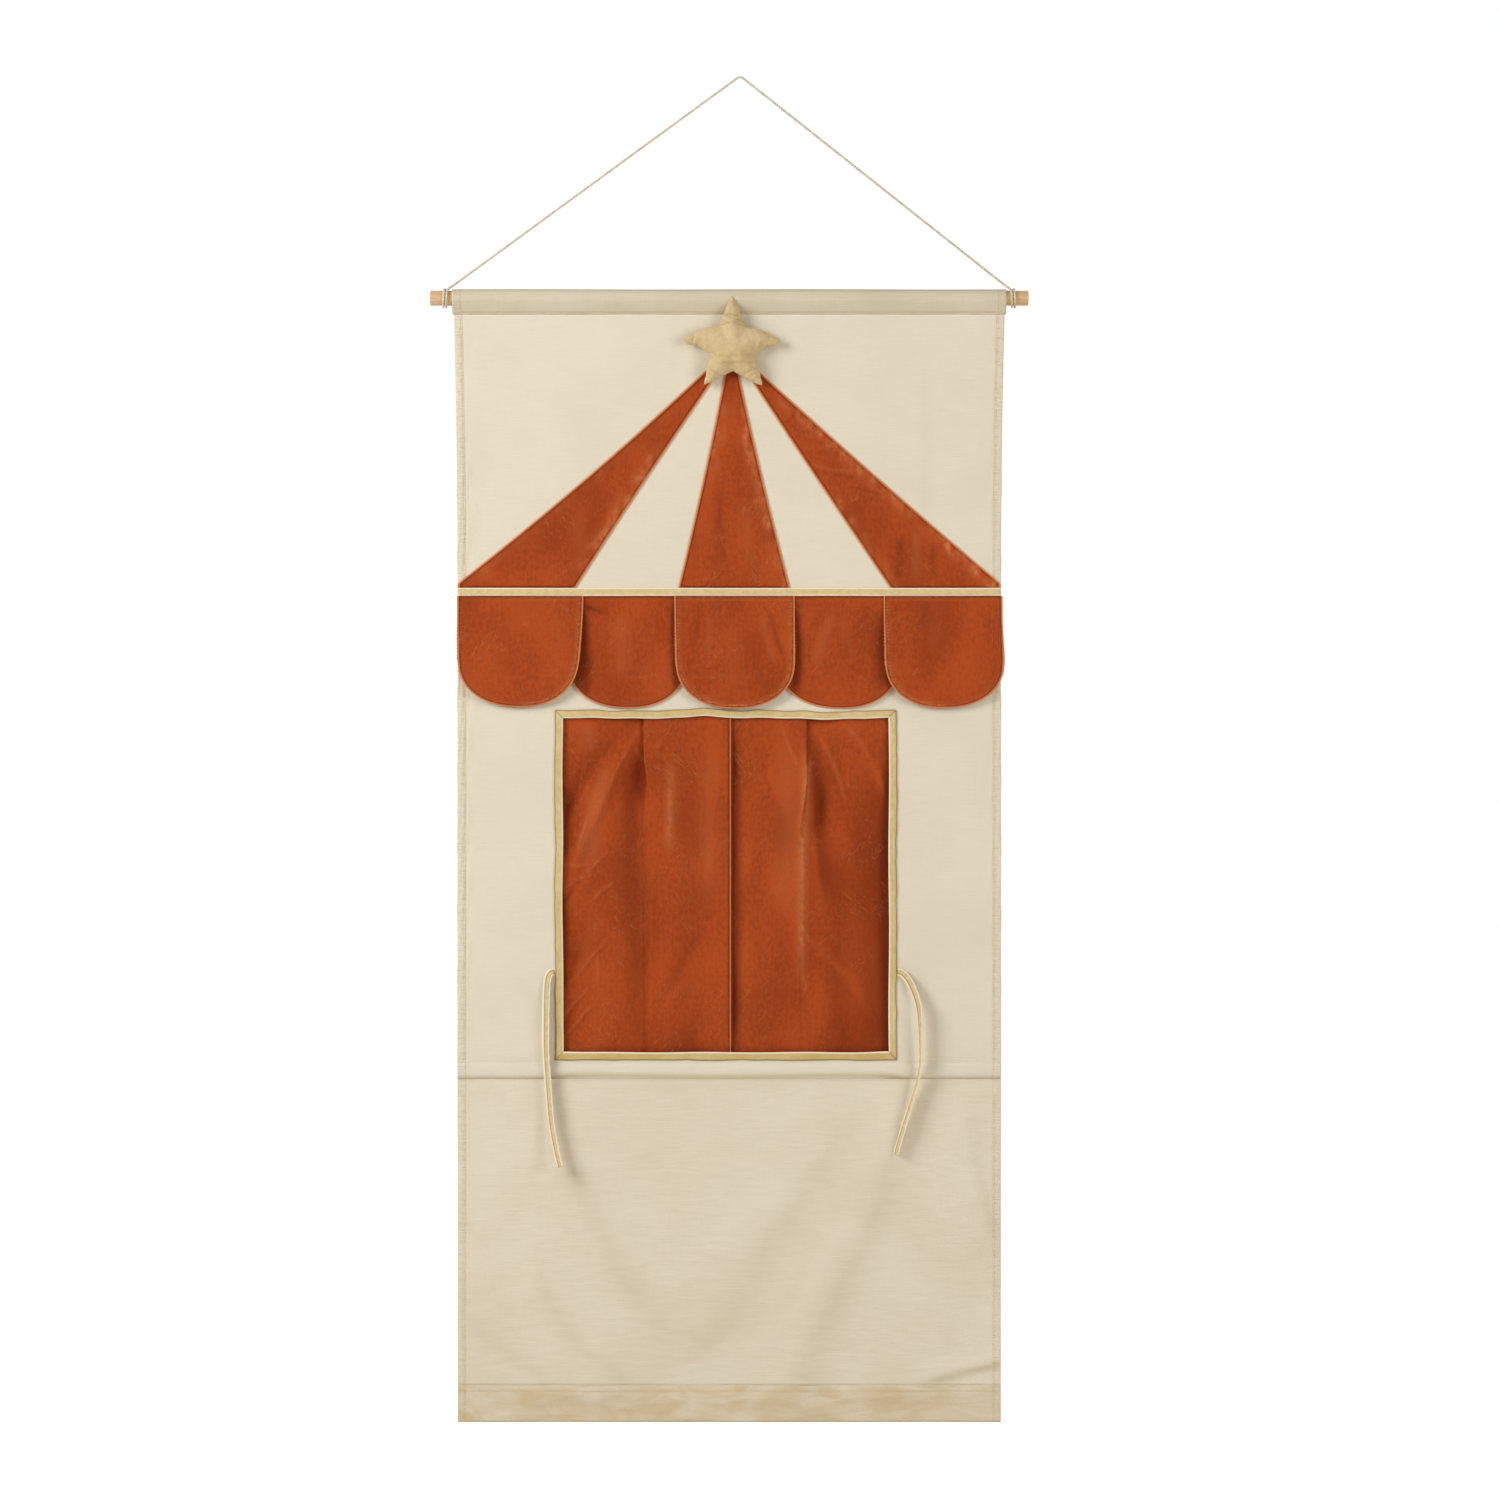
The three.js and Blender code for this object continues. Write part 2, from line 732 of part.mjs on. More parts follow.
function sillCasing() {
  const inner = barDiameter / 2 + clothGap;
  const middle = -casingTopDrop - casingHeight / 2;
  const tips = (halfThickness, inset) =>
    [-casingTopDrop - inset, -sillDrop + inset].flatMap((z) => [
      [-halfThickness, z],
      [halfThickness, z],
    ]);
  const radius = clearingRadius(inner) + clothThickness;
  const shape = shapeOf(stretchedRound(barSetback, middle, radius, tips(clothThickness, 0)));
  const bore = stretchedRound(barSetback, middle, clearingRadius(inner), [
    [0, -casingTopDrop - casingTailHeight],
    [0, -sillDrop + casingTailHeight],
  ]);
  shape.holes.push(shapeOf(bore));
  return piece("sill_casing", runAlongX(shape, bannerWidth), looks.canvas);
}

function spreaderBar() {
  const rod = new THREE.CylinderGeometry(barDiameter / 2, barDiameter / 2, barLength, dowelSides / 2);
  const mesh = piece("spreader_bar", rod.rotateZ(Math.PI / 2), looks.wood);
  mesh.position.set(0, barSetback, -casingTopDrop - casingHeight / 2);
  return mesh;
}

// Even places from 0 to 1, with a close pair where a hem begins
function placesWithHems(count, startHem, endHem, step) {
  const places = startHem > 0 ? [0, startHem, startHem + step] : [0];
  const low = places.at(-1);
  const high = 1 - endHem - step;
  for (let i = 1; i < count; i++) places.push(low + ((high - low) * i) / count);
  places.push(high, 1 - endHem, 1);
  return places;
}

function skirtPanel() {
  const top = sillDrop + clothGap;
  const height = bannerDrop - top;
  const sideHem = sideHemWidth / bannerWidth;
  const columns = placesWithHems(skirtColumns, sideHem, sideHem, clothThickness / bannerWidth);
  const bottomHem = bottomHemHeight / height;
  const falls = placesWithHems(skirtRows, 0, bottomHem, clothThickness / height);
  const rows = falls.map((fall) =>
    columns.map((across) => {
      const folds = skirtFoldShares.reduce((sum, fold) => {
        const away = (across - fold.place - fold.lean * fall) / fold.width;
        return sum + fold.depth * Math.exp(-away * away);
      }, 0);
      const depth = skirtWave * smoothStep(0, 1, fall) * folds;
      return new THREE.Vector3((across - 0.5) * bannerWidth, depth, -top - height * fall);
    }),
  );
  const face = () => clothThickness / 2;
  const back = (row, column) => {
    const inSideHem = columns[column] <= sideHem || columns[column] >= 1 - sideHem;
    const inHem = inSideHem || falls[row] >= 1 - bottomHem;
    return clothThickness / 2 + (inHem ? clothThickness : 0);
  };
  return piece("skirt_panel", clothSolid(rows, face, back), looks.canvas);
}

// A stuffed five-point star: rings of the outline that grow rounder and higher towards the middle
function star() {
  const outline = [];
  const points = starTipShares.length;
  for (let arm = 0; arm < points; arm++) {
    const corners = [starTipShares[arm], starNotchShares[arm], starTipShares[(arm + 1) % points]];
    for (let half = 0; half < 2; half++) {
      const from = (2 * Math.PI * (arm + half / 2)) / points;
      const to = from + Math.PI / points;
      const start = new THREE.Vector2(Math.sin(from), Math.cos(from)).multiplyScalar(corners[half]);
      const end = new THREE.Vector2(Math.sin(to), Math.cos(to)).multiplyScalar(corners[half + 1]);
      for (let step = 0; step < starSideSteps; step++) {
        const share = step / starSideSteps;
        const bulge = 1 + starSideBulgeShare * Math.sin(Math.PI * share);
        outline.push(start.clone().lerp(end, share).multiplyScalar(starRadius * bulge));
      }
    }
  }
  const meanRadius = outline.reduce((sum, point) => sum + point.length(), 0) / outline.length;
  const half = starThickness / 2;
  const flat = half * starFlatShare;
  const positions = [];
  const addRing = (share, side) => {
    const height = half * (1 - share ** starCrown.fall) ** starCrown.fullness;
    const depth = side < 0 ? -height : Math.min(height, flat);
    for (const point of outline) {
      const likeness = share ** starCrown.likeness;
      const radius = share * (likeness + ((1 - likeness) * meanRadius) / point.length());
      positions.push(point.x * radius, depth, point.y * radius);
    }
  };
  addRing(1, 0);
  const indices = [];
  const count = outline.length;
  for (const side of [-1, 1]) {
    let previous = 0;
    for (const share of starRingShares) {
      const ring = positions.length / 3;
      addRing(share, side);
      for (let i = 0; i < count; i++) {
        const next = (i + 1) % count;
        const quad = [previous + i, previous + next, ring + next, previous + i, ring + next, ring + i];
        indices.push(...(side < 0 ? quad : quad.toReversed()));
      }
      previous = ring;
    }
    const pole = positions.length / 3;
    positions.push(0, side < 0 ? -half : flat, 0);
    for (let i = 0; i < count; i++) {
      const cap = [previous + i, previous + ((i + 1) % count), pole];
      indices.push(...(side < 0 ? cap : cap.toReversed()));
    }
  }
  const mesh = piece("star", facingOut(positions, indices), looks.sandVelvet);
  mesh.position.set(starOffset, frontLayerFace(1) - clothGap - flat, -starDrop);
  return mesh;
}

// A flat tape along its route, turned about its length by the twists at its start, middle and end
function tie(name) {
  const route = tieRoutes[name].map((point) => new THREE.Vector3(...point));
  const curve = new RoutedCurve(route, false, "centripetal");
  const steps = (route.length - 1) * 2;
  const [startTwist, middleTwist, endTwist] = tieTwists[name];
  const rows = [];
  for (let step = 0; step <= steps; step++) {
    const share = step / steps;
    const along = curve.getTangent(share);
    const across = along.clone().cross(new THREE.Vector3(0, 1, 0)).normalize();
    const twist =
      share < 0.5
        ? THREE.MathUtils.lerp(startTwist, middleTwist, smoothStep(0, 0.5, share))
        : THREE.MathUtils.lerp(middleTwist, endTwist, smoothStep(0.5, 1, share));
    across.applyAxisAngle(along, THREE.MathUtils.degToRad(twist));
    const point = curve.getPoint(share);
    rows.push([-0.5, 0, 0.5].map((side) => point.clone().addScaledVector(across, side * tieWidth)));
  }
  const half = () => tieThickness / 2;
  return piece(`tie_${name}`, clothSolid(rows, half, half), looks.sandTape);
}

const theatre = new THREE.Group();
theatre.add(dowel(), hangingCord(), ...winding("left", -1), ...winding("right", 1));

const banner = new THREE.Group();
banner.position.set(-hangOffset, 0, -hangDrop);
banner.add(rodSleeve(), frontPanel());
banner.add(...roofRayShares.map(roofStripe), roofBinding());
banner.add(...scallopShares.map(scallop));
banner.add(...["top", "right", "bottom", "left"].map(bindingStrip));
banner.add(curtain("left", -1), curtain("right", 1));
banner.add(sillCasing(), spreaderBar(), skirtPanel());
banner.add(star(), tie("left"), tie("right"));
theatre.add(banner);

export default theatre;
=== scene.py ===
"""Dresses the hanging puppet theatre: a canvas banner with a velvet tent roof, on a wooden dowel.

Lengths are in millimetres in the classes and turn to metres where a mesh is made. The banner's own
places are measured from the middle of the dowel: across to the right, and down as a drop.
"""

import logging
import math
from bisect import bisect_right
from dataclasses import dataclass, field
from enum import Enum
from itertools import accumulate
from typing import Any, Callable, Sequence

import bmesh
import bpy
from mathutils import Matrix, Quaternion, Vector, geometry, noise

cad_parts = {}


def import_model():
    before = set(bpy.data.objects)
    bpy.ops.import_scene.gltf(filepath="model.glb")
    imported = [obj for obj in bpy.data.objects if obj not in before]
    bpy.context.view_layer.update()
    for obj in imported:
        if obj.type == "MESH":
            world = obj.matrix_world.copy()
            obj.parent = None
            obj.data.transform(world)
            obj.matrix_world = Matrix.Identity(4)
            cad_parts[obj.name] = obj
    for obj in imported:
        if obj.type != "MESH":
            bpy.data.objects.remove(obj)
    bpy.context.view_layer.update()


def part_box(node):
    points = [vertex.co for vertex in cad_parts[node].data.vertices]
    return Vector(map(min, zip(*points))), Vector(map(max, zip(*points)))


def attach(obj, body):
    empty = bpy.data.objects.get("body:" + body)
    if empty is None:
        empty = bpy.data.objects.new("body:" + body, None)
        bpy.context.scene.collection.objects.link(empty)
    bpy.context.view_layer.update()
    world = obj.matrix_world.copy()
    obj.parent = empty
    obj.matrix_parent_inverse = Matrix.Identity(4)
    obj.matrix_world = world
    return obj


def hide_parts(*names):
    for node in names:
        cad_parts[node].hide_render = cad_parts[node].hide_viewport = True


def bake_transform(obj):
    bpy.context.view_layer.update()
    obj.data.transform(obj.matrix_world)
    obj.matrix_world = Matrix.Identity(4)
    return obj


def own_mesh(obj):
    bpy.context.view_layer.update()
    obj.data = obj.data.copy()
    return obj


LOG = logging.getLogger("puppet_theatre")
MM = 0.001
WEAVE_MAP = "cloth"
EDGE_LAYER = "edge"
# The worn layer pales cloth: worn pile, and on the curtains' ridges and the scallops' edges a
# painted highlight. The tone layer holds painted shade, and painted light where it is below zero;
# on the window binding it holds the tape's darker patches.
WEAR_AND_HIGHLIGHT_LAYER = "worn"
DOUBLED_LAYER = "doubled"
SHADE_AND_TONE_LAYER = "tone"
HEM_GROUP = "hem"
SMOOTH = {"interpolation_type": "SMOOTHSTEP"}
TINT = {"data_type": "RGBA"}

Place = Callable[[float, float], Vector]
Measure = Callable[[float, float], float]
Socket = bpy.types.NodeSocket


class Side(Enum):
    """A side of the banner, with its direction along X."""

    LEFT = -1
    RIGHT = 1


class WindowEdge(Enum):
    """An edge of the stage window, with its quarter turns from the top edge."""

    TOP = 0
    RIGHT = 1
    BOTTOM = 2
    LEFT = 3


class Coordinates(Enum):
    """Where a pattern takes its place from."""

    CLOTH = "cloth"
    SOLID = "solid"


def smooth_step(low: float, high: float, value: float) -> float:
    """Eases from 0 at low to 1 at high."""
    share = min(max((value - low) / (high - low), 0), 1)
    return share * share * (3 - 2 * share)


def bell(value: float, centre: float, width: float) -> float:
    """A soft hump of height 1 about a centre."""
    away = (value - centre) / width
    return math.exp(-away * away)


def linear(hex_colour: str) -> tuple[float, float, float, float]:
    """Turns an sRGB colour to the linear values that shaders take.

    Args:
        hex_colour: Six hex digits after a hash.

    Returns:
        Linear red, green and blue, and an alpha of 1.
    """
    parts = [int(hex_colour[i : i + 2], 16) / 255 for i in (1, 3, 5)]
    flat = [c / 12.92 if c <= 0.04045 else ((c + 0.055) / 1.055) ** 2.4 for c in parts]
    return (flat[0], flat[1], flat[2], 1)


def add_node(
    tree: bpy.types.NodeTree,
    kind: str,
    inputs: dict[str | int, Any] | Sequence[Any] = (),
    output: str | int = 0,
    **settings: Any,
) -> Socket:
    """Adds a shader node with its settings, values and links.

    Args:
        tree: The material's or world's nodes.
        kind: The node's type, without its common first part.
        inputs: A value for each input, or the socket that feeds it: in order, or by name or number.
        output: The wanted output.
        settings: Properties of the node.

    Returns:
        The wanted output's socket.
    """
    node = tree.nodes.new(f"ShaderNode{kind}")
    for key, value in settings.items():
        setattr(node, key, value)
    for key, value in inputs.items() if isinstance(inputs, dict) else enumerate(inputs):
        if isinstance(value, Socket):
            tree.links.new(value, node.inputs[key])
        else:
            node.inputs[key].default_value = value
    return node.outputs[output]


def speckle(
    tree: bpy.types.NodeTree,
    where: Socket,
    grains_mm: tuple[float, float, float],
    detail: float = 2.0,
    distortion: float = 0.0,
    turn: float = 0.0,
) -> Socket:
    """Soft random grain of a real size along each axis.

    Args:
        tree: The material's nodes.
        where: The coordinates, in metres.
        grains_mm: How long a grain is along each axis, in millimetres.
        detail: Octaves of finer grain.
        distortion: How far the grain is pulled about.
        turn: How far the grain's length is turned from across to upright, in radians.

    Returns:
        A value about one half.
    """
    size = tuple(grain * MM for grain in grains_mm)
    laid = {"Vector": where, "Rotation": (0, 0, turn), "Scale": size}
    grain = {
        "Vector": add_node(tree, "Mapping", laid, vector_type="TEXTURE"),
        "Scale": 1,
        "Detail": detail,
        "Distortion": distortion,
    }
    return add_node(tree, "TexNoise", grain)


def new_material(
    name: str, where: Coordinates
) -> tuple[bpy.types.Material, bpy.types.NodeTree, Socket]:
    """Starts a material with a bare Principled shader.

    Args:
        name: The real material's name.
        where: What its patterns follow.

    Returns:
        The material, its nodes, and its patterns' coordinates in metres.
    """
    material = bpy.data.materials.new(name)
    material.use_nodes = True
    tree = material.node_tree
    if where is Coordinates.CLOTH:
        return material, tree, add_node(tree, "UVMap", uv_map=WEAVE_MAP)
    return material, tree, add_node(tree, "TexCoord", output="Object")


def finish_shader(
    tree: bpy.types.NodeTree,
    colour: Socket,
    relief: Sequence[tuple[Socket, float]],
    values: dict[str, Any],
) -> Socket:
    """Feeds a material's Principled shader.

    Args:
        tree: The material's nodes.
        colour: The base colour.
        relief: Heights from 0 to 1, each with its real depth in millimetres, the finest last.
        values: The shader's other values, by the input's name.

    Returns:
        The shader's output.
    """
    shader = tree.nodes["Principled BSDF"]
    tree.links.new(colour, shader.inputs["Base Color"])
    under: dict[str | int, Any] = {}
    for height, depth in relief:
        raised = {"Height": height, "Distance": depth * MM, "Strength": 1, **under}
        under = {"Normal": add_node(tree, "Bump", raised)}
    for normal in under.values():
        tree.links.new(normal, shader.inputs["Normal"])
    for key, value in values.items():
        shader.inputs[key].default_value = value
    return shader.outputs[0]


@dataclass(frozen=True)
class CottonCanvas:
    """Plain-weave cotton canvas, unbleached and washed: matt, slubbed, with soft creases, and with
    painted shade and painted light laid on its colour.
    """

    name: str = "cotton_canvas_plain_weave"
    thread: str = "#E8DEC7"
    shade: str = "#E3D9C2"
    doubled: str = "#DCCBA6"
    # seam is painted shade along each hem's edge and in its puckers; deep is painted shade; raised
    # is painted light.
    seam: str = "#C9B087"
    deep: str = "#B9A67C"
    raised: str = "#F0E6D0"
    # A real thread is 0.5 mm; it is drawn nearly twice as wide, so that the weave shows.
    thread_spacing: float = 0.9
    slub_length: float = 34.0
    slub_width: float = 1.4
    weave_depth: float = 0.06
    crease_depth: float = 0.35
    hem_width: float = 10.7

    def make(self) -> bpy.types.Material:
        """Builds the material.

        Returns:
            Canvas with a weave, slubs, soft tone patches, and hems that are doubled and puckered;
            with painted shade and painted light, and painted shade in the puckers and along each
            hem's edge.
        """
        material, tree, where = new_material(self.name, Coordinates.CLOTH)
        weft, warp, patches, blotches, ripples, creases = (
            speckle(tree, where, *grain)
            for grain in (
                ((self.slub_length, self.slub_width, 1), 3),
                ((self.slub_width, self.slub_length, 1), 2),
                ((140, 100, 1), 3, 0.5),
                ((60, 24, 1), 3, 0.8),
                ((18, 2.1, 1), 1),
                ((70, 14, 1), 3, 0.8),
            )
        )
        painted_shading, edge, hem_tone = (
            add_node(tree, "Attribute", output="Fac", attribute_name=layer)
            for layer in (SHADE_AND_TONE_LAYER, EDGE_LAYER, DOUBLED_LAYER)
        )
        slubs = add_node(tree, "Math", (warp, 0.3, weft), operation="MULTIPLY_ADD")
        tone = add_node(tree, "Math", (patches, 1.2, slubs), operation="MULTIPLY_ADD")
        hem = self.hem_width
        beside = add_node(tree, "MapRange", (edge, hem, hem + 1.2, 1, 0), **SMOOTH)
        puckers = add_node(tree, "Math", (ripples, beside), operation="MULTIPLY")
        # hollow is painted shade and raised is painted light; marks is painted shade in the hems'
        # puckers, and turned is painted shade along each hem's edge.
        uneven, hollow, raised, patchy, marks, turned = (
            add_node(tree, "MapRange", span, **SMOOTH)
            for span in (
                (tone, 0.95, 1.55),
                (painted_shading, 0, 1),
                (painted_shading, 0, -1, 0, 0.6),
                (blotches, 0.2, 0.8),
                (puckers, 0.45, 0.7, 0, 0.36),
                (edge, hem - 1.2, hem - 0.3, 0, 0.4),
            )
        )
        colour = linear(self.thread)
        for share, tint in (
            (uneven, self.shade),
            (hollow, self.deep),
            (raised, self.raised),
            (add_node(tree, "Math", (hem_tone, patchy), operation="MULTIPLY"), self.doubled),
            (marks, self.seam),
            (add_node(tree, "Math", (turned, beside), operation="MULTIPLY"), self.seam),
        ):
            colour = add_node(tree, "Mix", {0: share, 6: colour, 7: linear(tint)}, 2, **TINT)
        relief = ((creases, self.crease_depth), (puckers, 0.5), (slubs, 0.08))
        finish_shader(
            tree,
            colour,
            (*relief, (self._weave(tree, where), self.weave_depth)),
            {
                "Roughness": 0.92,
                "Specular IOR Level": 0.2,
                "Sheen Weight": 0.1,
                "Sheen Roughness": 0.5,
            },
        )
        return material

    def _weave(self, tree: bpy.types.NodeTree, where: Socket) -> Socket:
        """Warp and weft that pass over and under each other.

        Args:
            tree: The material's nodes.
            where: The threads' coordinates.

        Returns:
            1 where a thread lies uppermost, and 0 between threads.
        """
        spacing = self.thread_spacing * MM
        bands = {"Vector": where, "Scale": 2 * math.pi / (20 * spacing)}
        warp, weft = (
            add_node(tree, "TexWave", bands, 1, bands_direction=way) for way in ("X", "Y")
        )
        over = add_node(tree, "TexChecker", {"Vector": where, "Scale": 1 / spacing}, 1)
        return add_node(tree, "Mix", {0: over, 2: warp, 3: weft})


@dataclass(frozen=True)
class CottonVelvet:
    """Cotton velveteen with a short pile: deep colour, an uneven nap, pile worn pale on creases,
    and painted shade, light and highlights.
    """

    name: str
    pile: str
    shade: str
    # rubbed is the pale colour of worn pile, of painted light, and of the painted highlight on each
    # folded edge; deep is the colour of painted shade.
    rubbed: str
    deep: str
    where: Coordinates = Coordinates.CLOTH
    # The pile is 0.3 mm; its tufts are drawn 1 mm wide, so that they show in the render.
    tuft: float = 1.0
    # A folded edge is paled by wear and a painted highlight over fold_width, with a furrow of
    # painted shade beside it.
    fold_width: float = 2.5
    furrow_width: float = 1.8
    fold_wear_and_highlight: float = 0.95
    crinkle: float = 0.0

    def make(self) -> bpy.types.Material:
        """Builds the material.

        Returns:
            Velvet with an uneven nap, fine upright streaks, painted shade and painted light, pale
            worn creases, and folded edges paled by wear and a painted highlight.
        """
        material, tree, where = new_material(self.name, self.where)
        tone, streaks, laid, mottle, tufts, creases = (
            speckle(tree, where, *grain)
            for grain in (
                ((70, 120, 70), 3, 0.3),
                ((2.4, 46, 2.4), 2),
                ((30, 2.6, 30), 2),
                ((5, 7, 5), 4),
                ((self.tuft, self.tuft, self.tuft), 1),
                ((26, 44, 26), 4, 0.6),
            )
        )
        for grain, weight in ((streaks, 0.22), (laid, 0.1), (mottle, 0.7)):
            tone = add_node(tree, "Math", (grain, weight, tone), operation="MULTIPLY_ADD")
        nap = add_node(tree, "MapRange", (tone, 0.79, 1.25), **SMOOTH)
        layers = [(nap, self.shade), *self._painted_light_and_wear(tree, mottle)]
        relief = [(creases, 1), (mottle, 0.25), (tufts, 0.2)]
        if self.crinkle:
            fine = self._crinkled(tree, where)
            share = add_node(tree, "Math", (fine, self.crinkle), operation="MULTIPLY")
            layers.append((share, self.rubbed))
            relief.insert(1, (fine, 0.3))
        colour = linear(self.pile)
        for share, tint in layers:
            colour = add_node(tree, "Mix", {0: share, 6: colour, 7: linear(tint)}, 2, **TINT)
        finish_shader(
            tree,
            colour,
            relief,
            {
                "Roughness": 0.9,
                "Specular IOR Level": 0.15,
                "Sheen Weight": 0.22,
                "Sheen Roughness": 0.35,
                "Sheen Tint": linear(self.rubbed),
            },
        )
        return material

    def _crinkled(self, tree: bpy.types.NodeTree, where: Socket) -> Socket:
        """Fine creases that run slantwise, one way or the other, in patches.

        Args:
            tree: The material's nodes.
            where: The pattern's coordinates.

        Returns:
            1 on a crease and 0 beside it.
        """
        lines = []
        for turn, patch in ((0.96, 70), (-0.85, 95)):
            grain = speckle(tree, where, (60, 17, 60), 3, 1.4, turn)
            off = add_node(tree, "Math", (grain, 0.5), operation="SUBTRACT")
            away = add_node(tree, "Math", (off,), operation="ABSOLUTE")
            line = add_node(tree, "MapRange", (away, 0.02, 0), **SMOOTH)
            spread = speckle(tree, where, (patch, patch, patch), 1)
            here = add_node(tree, "MapRange", (spread, 0.5, 0.66), **SMOOTH)
            lines.append(add_node(tree, "Math", (line, here), operation="MULTIPLY"))
        return add_node(tree, "Math", lines, operation="MAXIMUM")

    def _painted_light_and_wear(self, tree: bpy.types.NodeTree, mottle: Socket) -> list[tuple[Socket, str]]:
        """Painted shade and light on the pile, and where it is worn.

        Args:
            tree: The material's nodes.
            mottle: The pile's fine unevenness.

        Returns:
            The tints, each with its share: painted shade, painted light, painted shade in the
                furrow
            beside a folded edge, and pale where the pile is worn or a folded edge has a painted
            highlight.
        """
        painted_pile_shading, edge, worn = (
            add_node(tree, "Attribute", output="Fac", attribute_name=layer)
            for layer in (SHADE_AND_TONE_LAYER, EDGE_LAYER, WEAR_AND_HIGHLIGHT_LAYER)
        )
        fold, inner = self.fold_width, self.fold_width + self.furrow_width
        away, upright, uneven, start, end, folded, patches = (
            add_node(tree, "MapRange", span, **SMOOTH)
            for span in (
                (painted_pile_shading, 0, 1, 0, 0.9),
                (painted_pile_shading, 0, -1, 0, 0.8),
                (mottle, 0.1, 0.75),
                (edge, fold - 0.6, fold, 0, 0.75),
                (edge, inner - 0.8, inner + 0.6, 0, 0.75),
                (edge, fold - 1.3, fold, self.fold_wear_and_highlight, 0),
                (mottle, 0.3, 0.6),
            )
        )
        # The upright share is painted light, the furrow's share is painted shade, and the folded
        # edge is pale from wear and a painted highlight.
        painted_pile_light = add_node(tree, "Math", (upright, uneven), operation="MULTIPLY")
        sunk = add_node(tree, "Math", (start, end), operation="SUBTRACT")
        patchy = add_node(tree, "Math", (worn, patches), operation="MULTIPLY")
        pale = add_node(tree, "Math", (folded, patchy), operation="MAXIMUM")
        return [(away, self.deep), (painted_pile_light, self.rubbed), (sunk, self.deep), (pale, self.rubbed)]


@dataclass(frozen=True)
class FoldedTape:
    """Folded velvet tape: a sand-coloured ribbon whose turned edge has a painted highlight, with
    painted shadow along its seam.
    """

    name: str = "velvet_tape_folded"
    ground: str = "#DFC88F"
    shade: str = "#D2B982"
    # fold is the painted highlight of the turned edge and of the lip; seam is the painted shadow
    # along the seam; rubbed is the darker colour of the tape's patches.
    fold: str = "#F1E6CC"
    seam: str = "#957B4C"
    rubbed: str = "#C4A25C"
    fold_width: float = 2.2
    seam_place: float = 9.9
    lip: float = 0.0

    def make(self) -> bpy.types.Material:
        """Builds the material.

        Returns:
            Tape with a fine pile, faint cross ripples, darker patches, a turned edge with a painted
            highlight, and painted shadow along the seam.
        """
        material, tree, where = new_material(self.name, Coordinates.CLOTH)
        patches = speckle(tree, where, (9, 6, 1), 3)
        edge, darkened = (
            add_node(tree, "Attribute", output="Fac", attribute_name=layer)
            for layer in (EDGE_LAYER, SHADE_AND_TONE_LAYER)
        )
        fold, seam = self.fold_width, self.seam_place
        uneven, turned, outer, beyond = (
            add_node(tree, "MapRange", span, **SMOOTH)
            for span in (
                (patches, 0.3, 0.75),
                (edge, fold - 0.9, fold, 1, 0),
                (edge, seam - 1, seam - 0.1),
                (edge, seam + 0.7, seam + 1.5),
            )
        )
        seam_shadow = add_node(tree, "Math", (outer, beyond), operation="SUBTRACT")
        colour = linear(self.ground)
        for share, tint in (
            (uneven, self.shade),
            (darkened, self.rubbed),
            (turned, self.fold),
            (add_node(tree, "Math", (seam_shadow, 0.8), operation="MULTIPLY"), self.seam),
            (add_node(tree, "Math", (beyond, self.lip), operation="MULTIPLY"), self.fold),
        ):
            colour = add_node(tree, "Mix", {0: share, 6: colour, 7: linear(tint)}, 2, **TINT)
        ripples = speckle(tree, where, (8, 8, 1), 2, 0.6)
        tufts = speckle(tree, where, (0.8, 0.8, 0.8), 1)
        finish_shader(
            tree,
            colour,
            ((ripples, 0.6), (tufts, 0.15)),
            {
                "Roughness": 0.88,
                "Specular IOR Level": 0.2,
                "Sheen Weight": 0.2,
                "Sheen Roughness": 0.4,
            },
        )
        return material


@dataclass(frozen=True)
class SpunCotton:
    """Spun cotton, twisted: matt fibres with darker hollows, for the cord and the sewing thread."""

    name: str
    fibre: str
    hollow: str
    fibre_length: float = 2.0
    fibre_width: float = 0.5

    def make(self) -> bpy.types.Material:
        """Builds the material.

        Returns:
            Yarn with fine fibres and soft tone changes.
        """
        material, tree, where = new_material(self.name, Coordinates.SOLID)
        width = self.fibre_width
        fibres = speckle(tree, where, (width, width, self.fibre_length), 3, 0.8)
        tone = speckle(tree, where, (9, 9, 9), 3)
        blend = add_node(tree, "Math", (tone, 0.6, fibres), operation="MULTIPLY_ADD")
        share = add_node(tree, "MapRange", (blend, 0.55, 1), **SMOOTH)
        mixed = {0: share, 6: linear(self.fibre), 7: linear(self.hollow)}
        colour = add_node(tree, "Mix", mixed, 2, **TINT)
        surface = {"Roughness": 0.9, "Specular IOR Level": 0.2, "Sheen Weight": 0.15}
        finish_shader(tree, colour, ((fibres, 0.2),), surface)
        return material


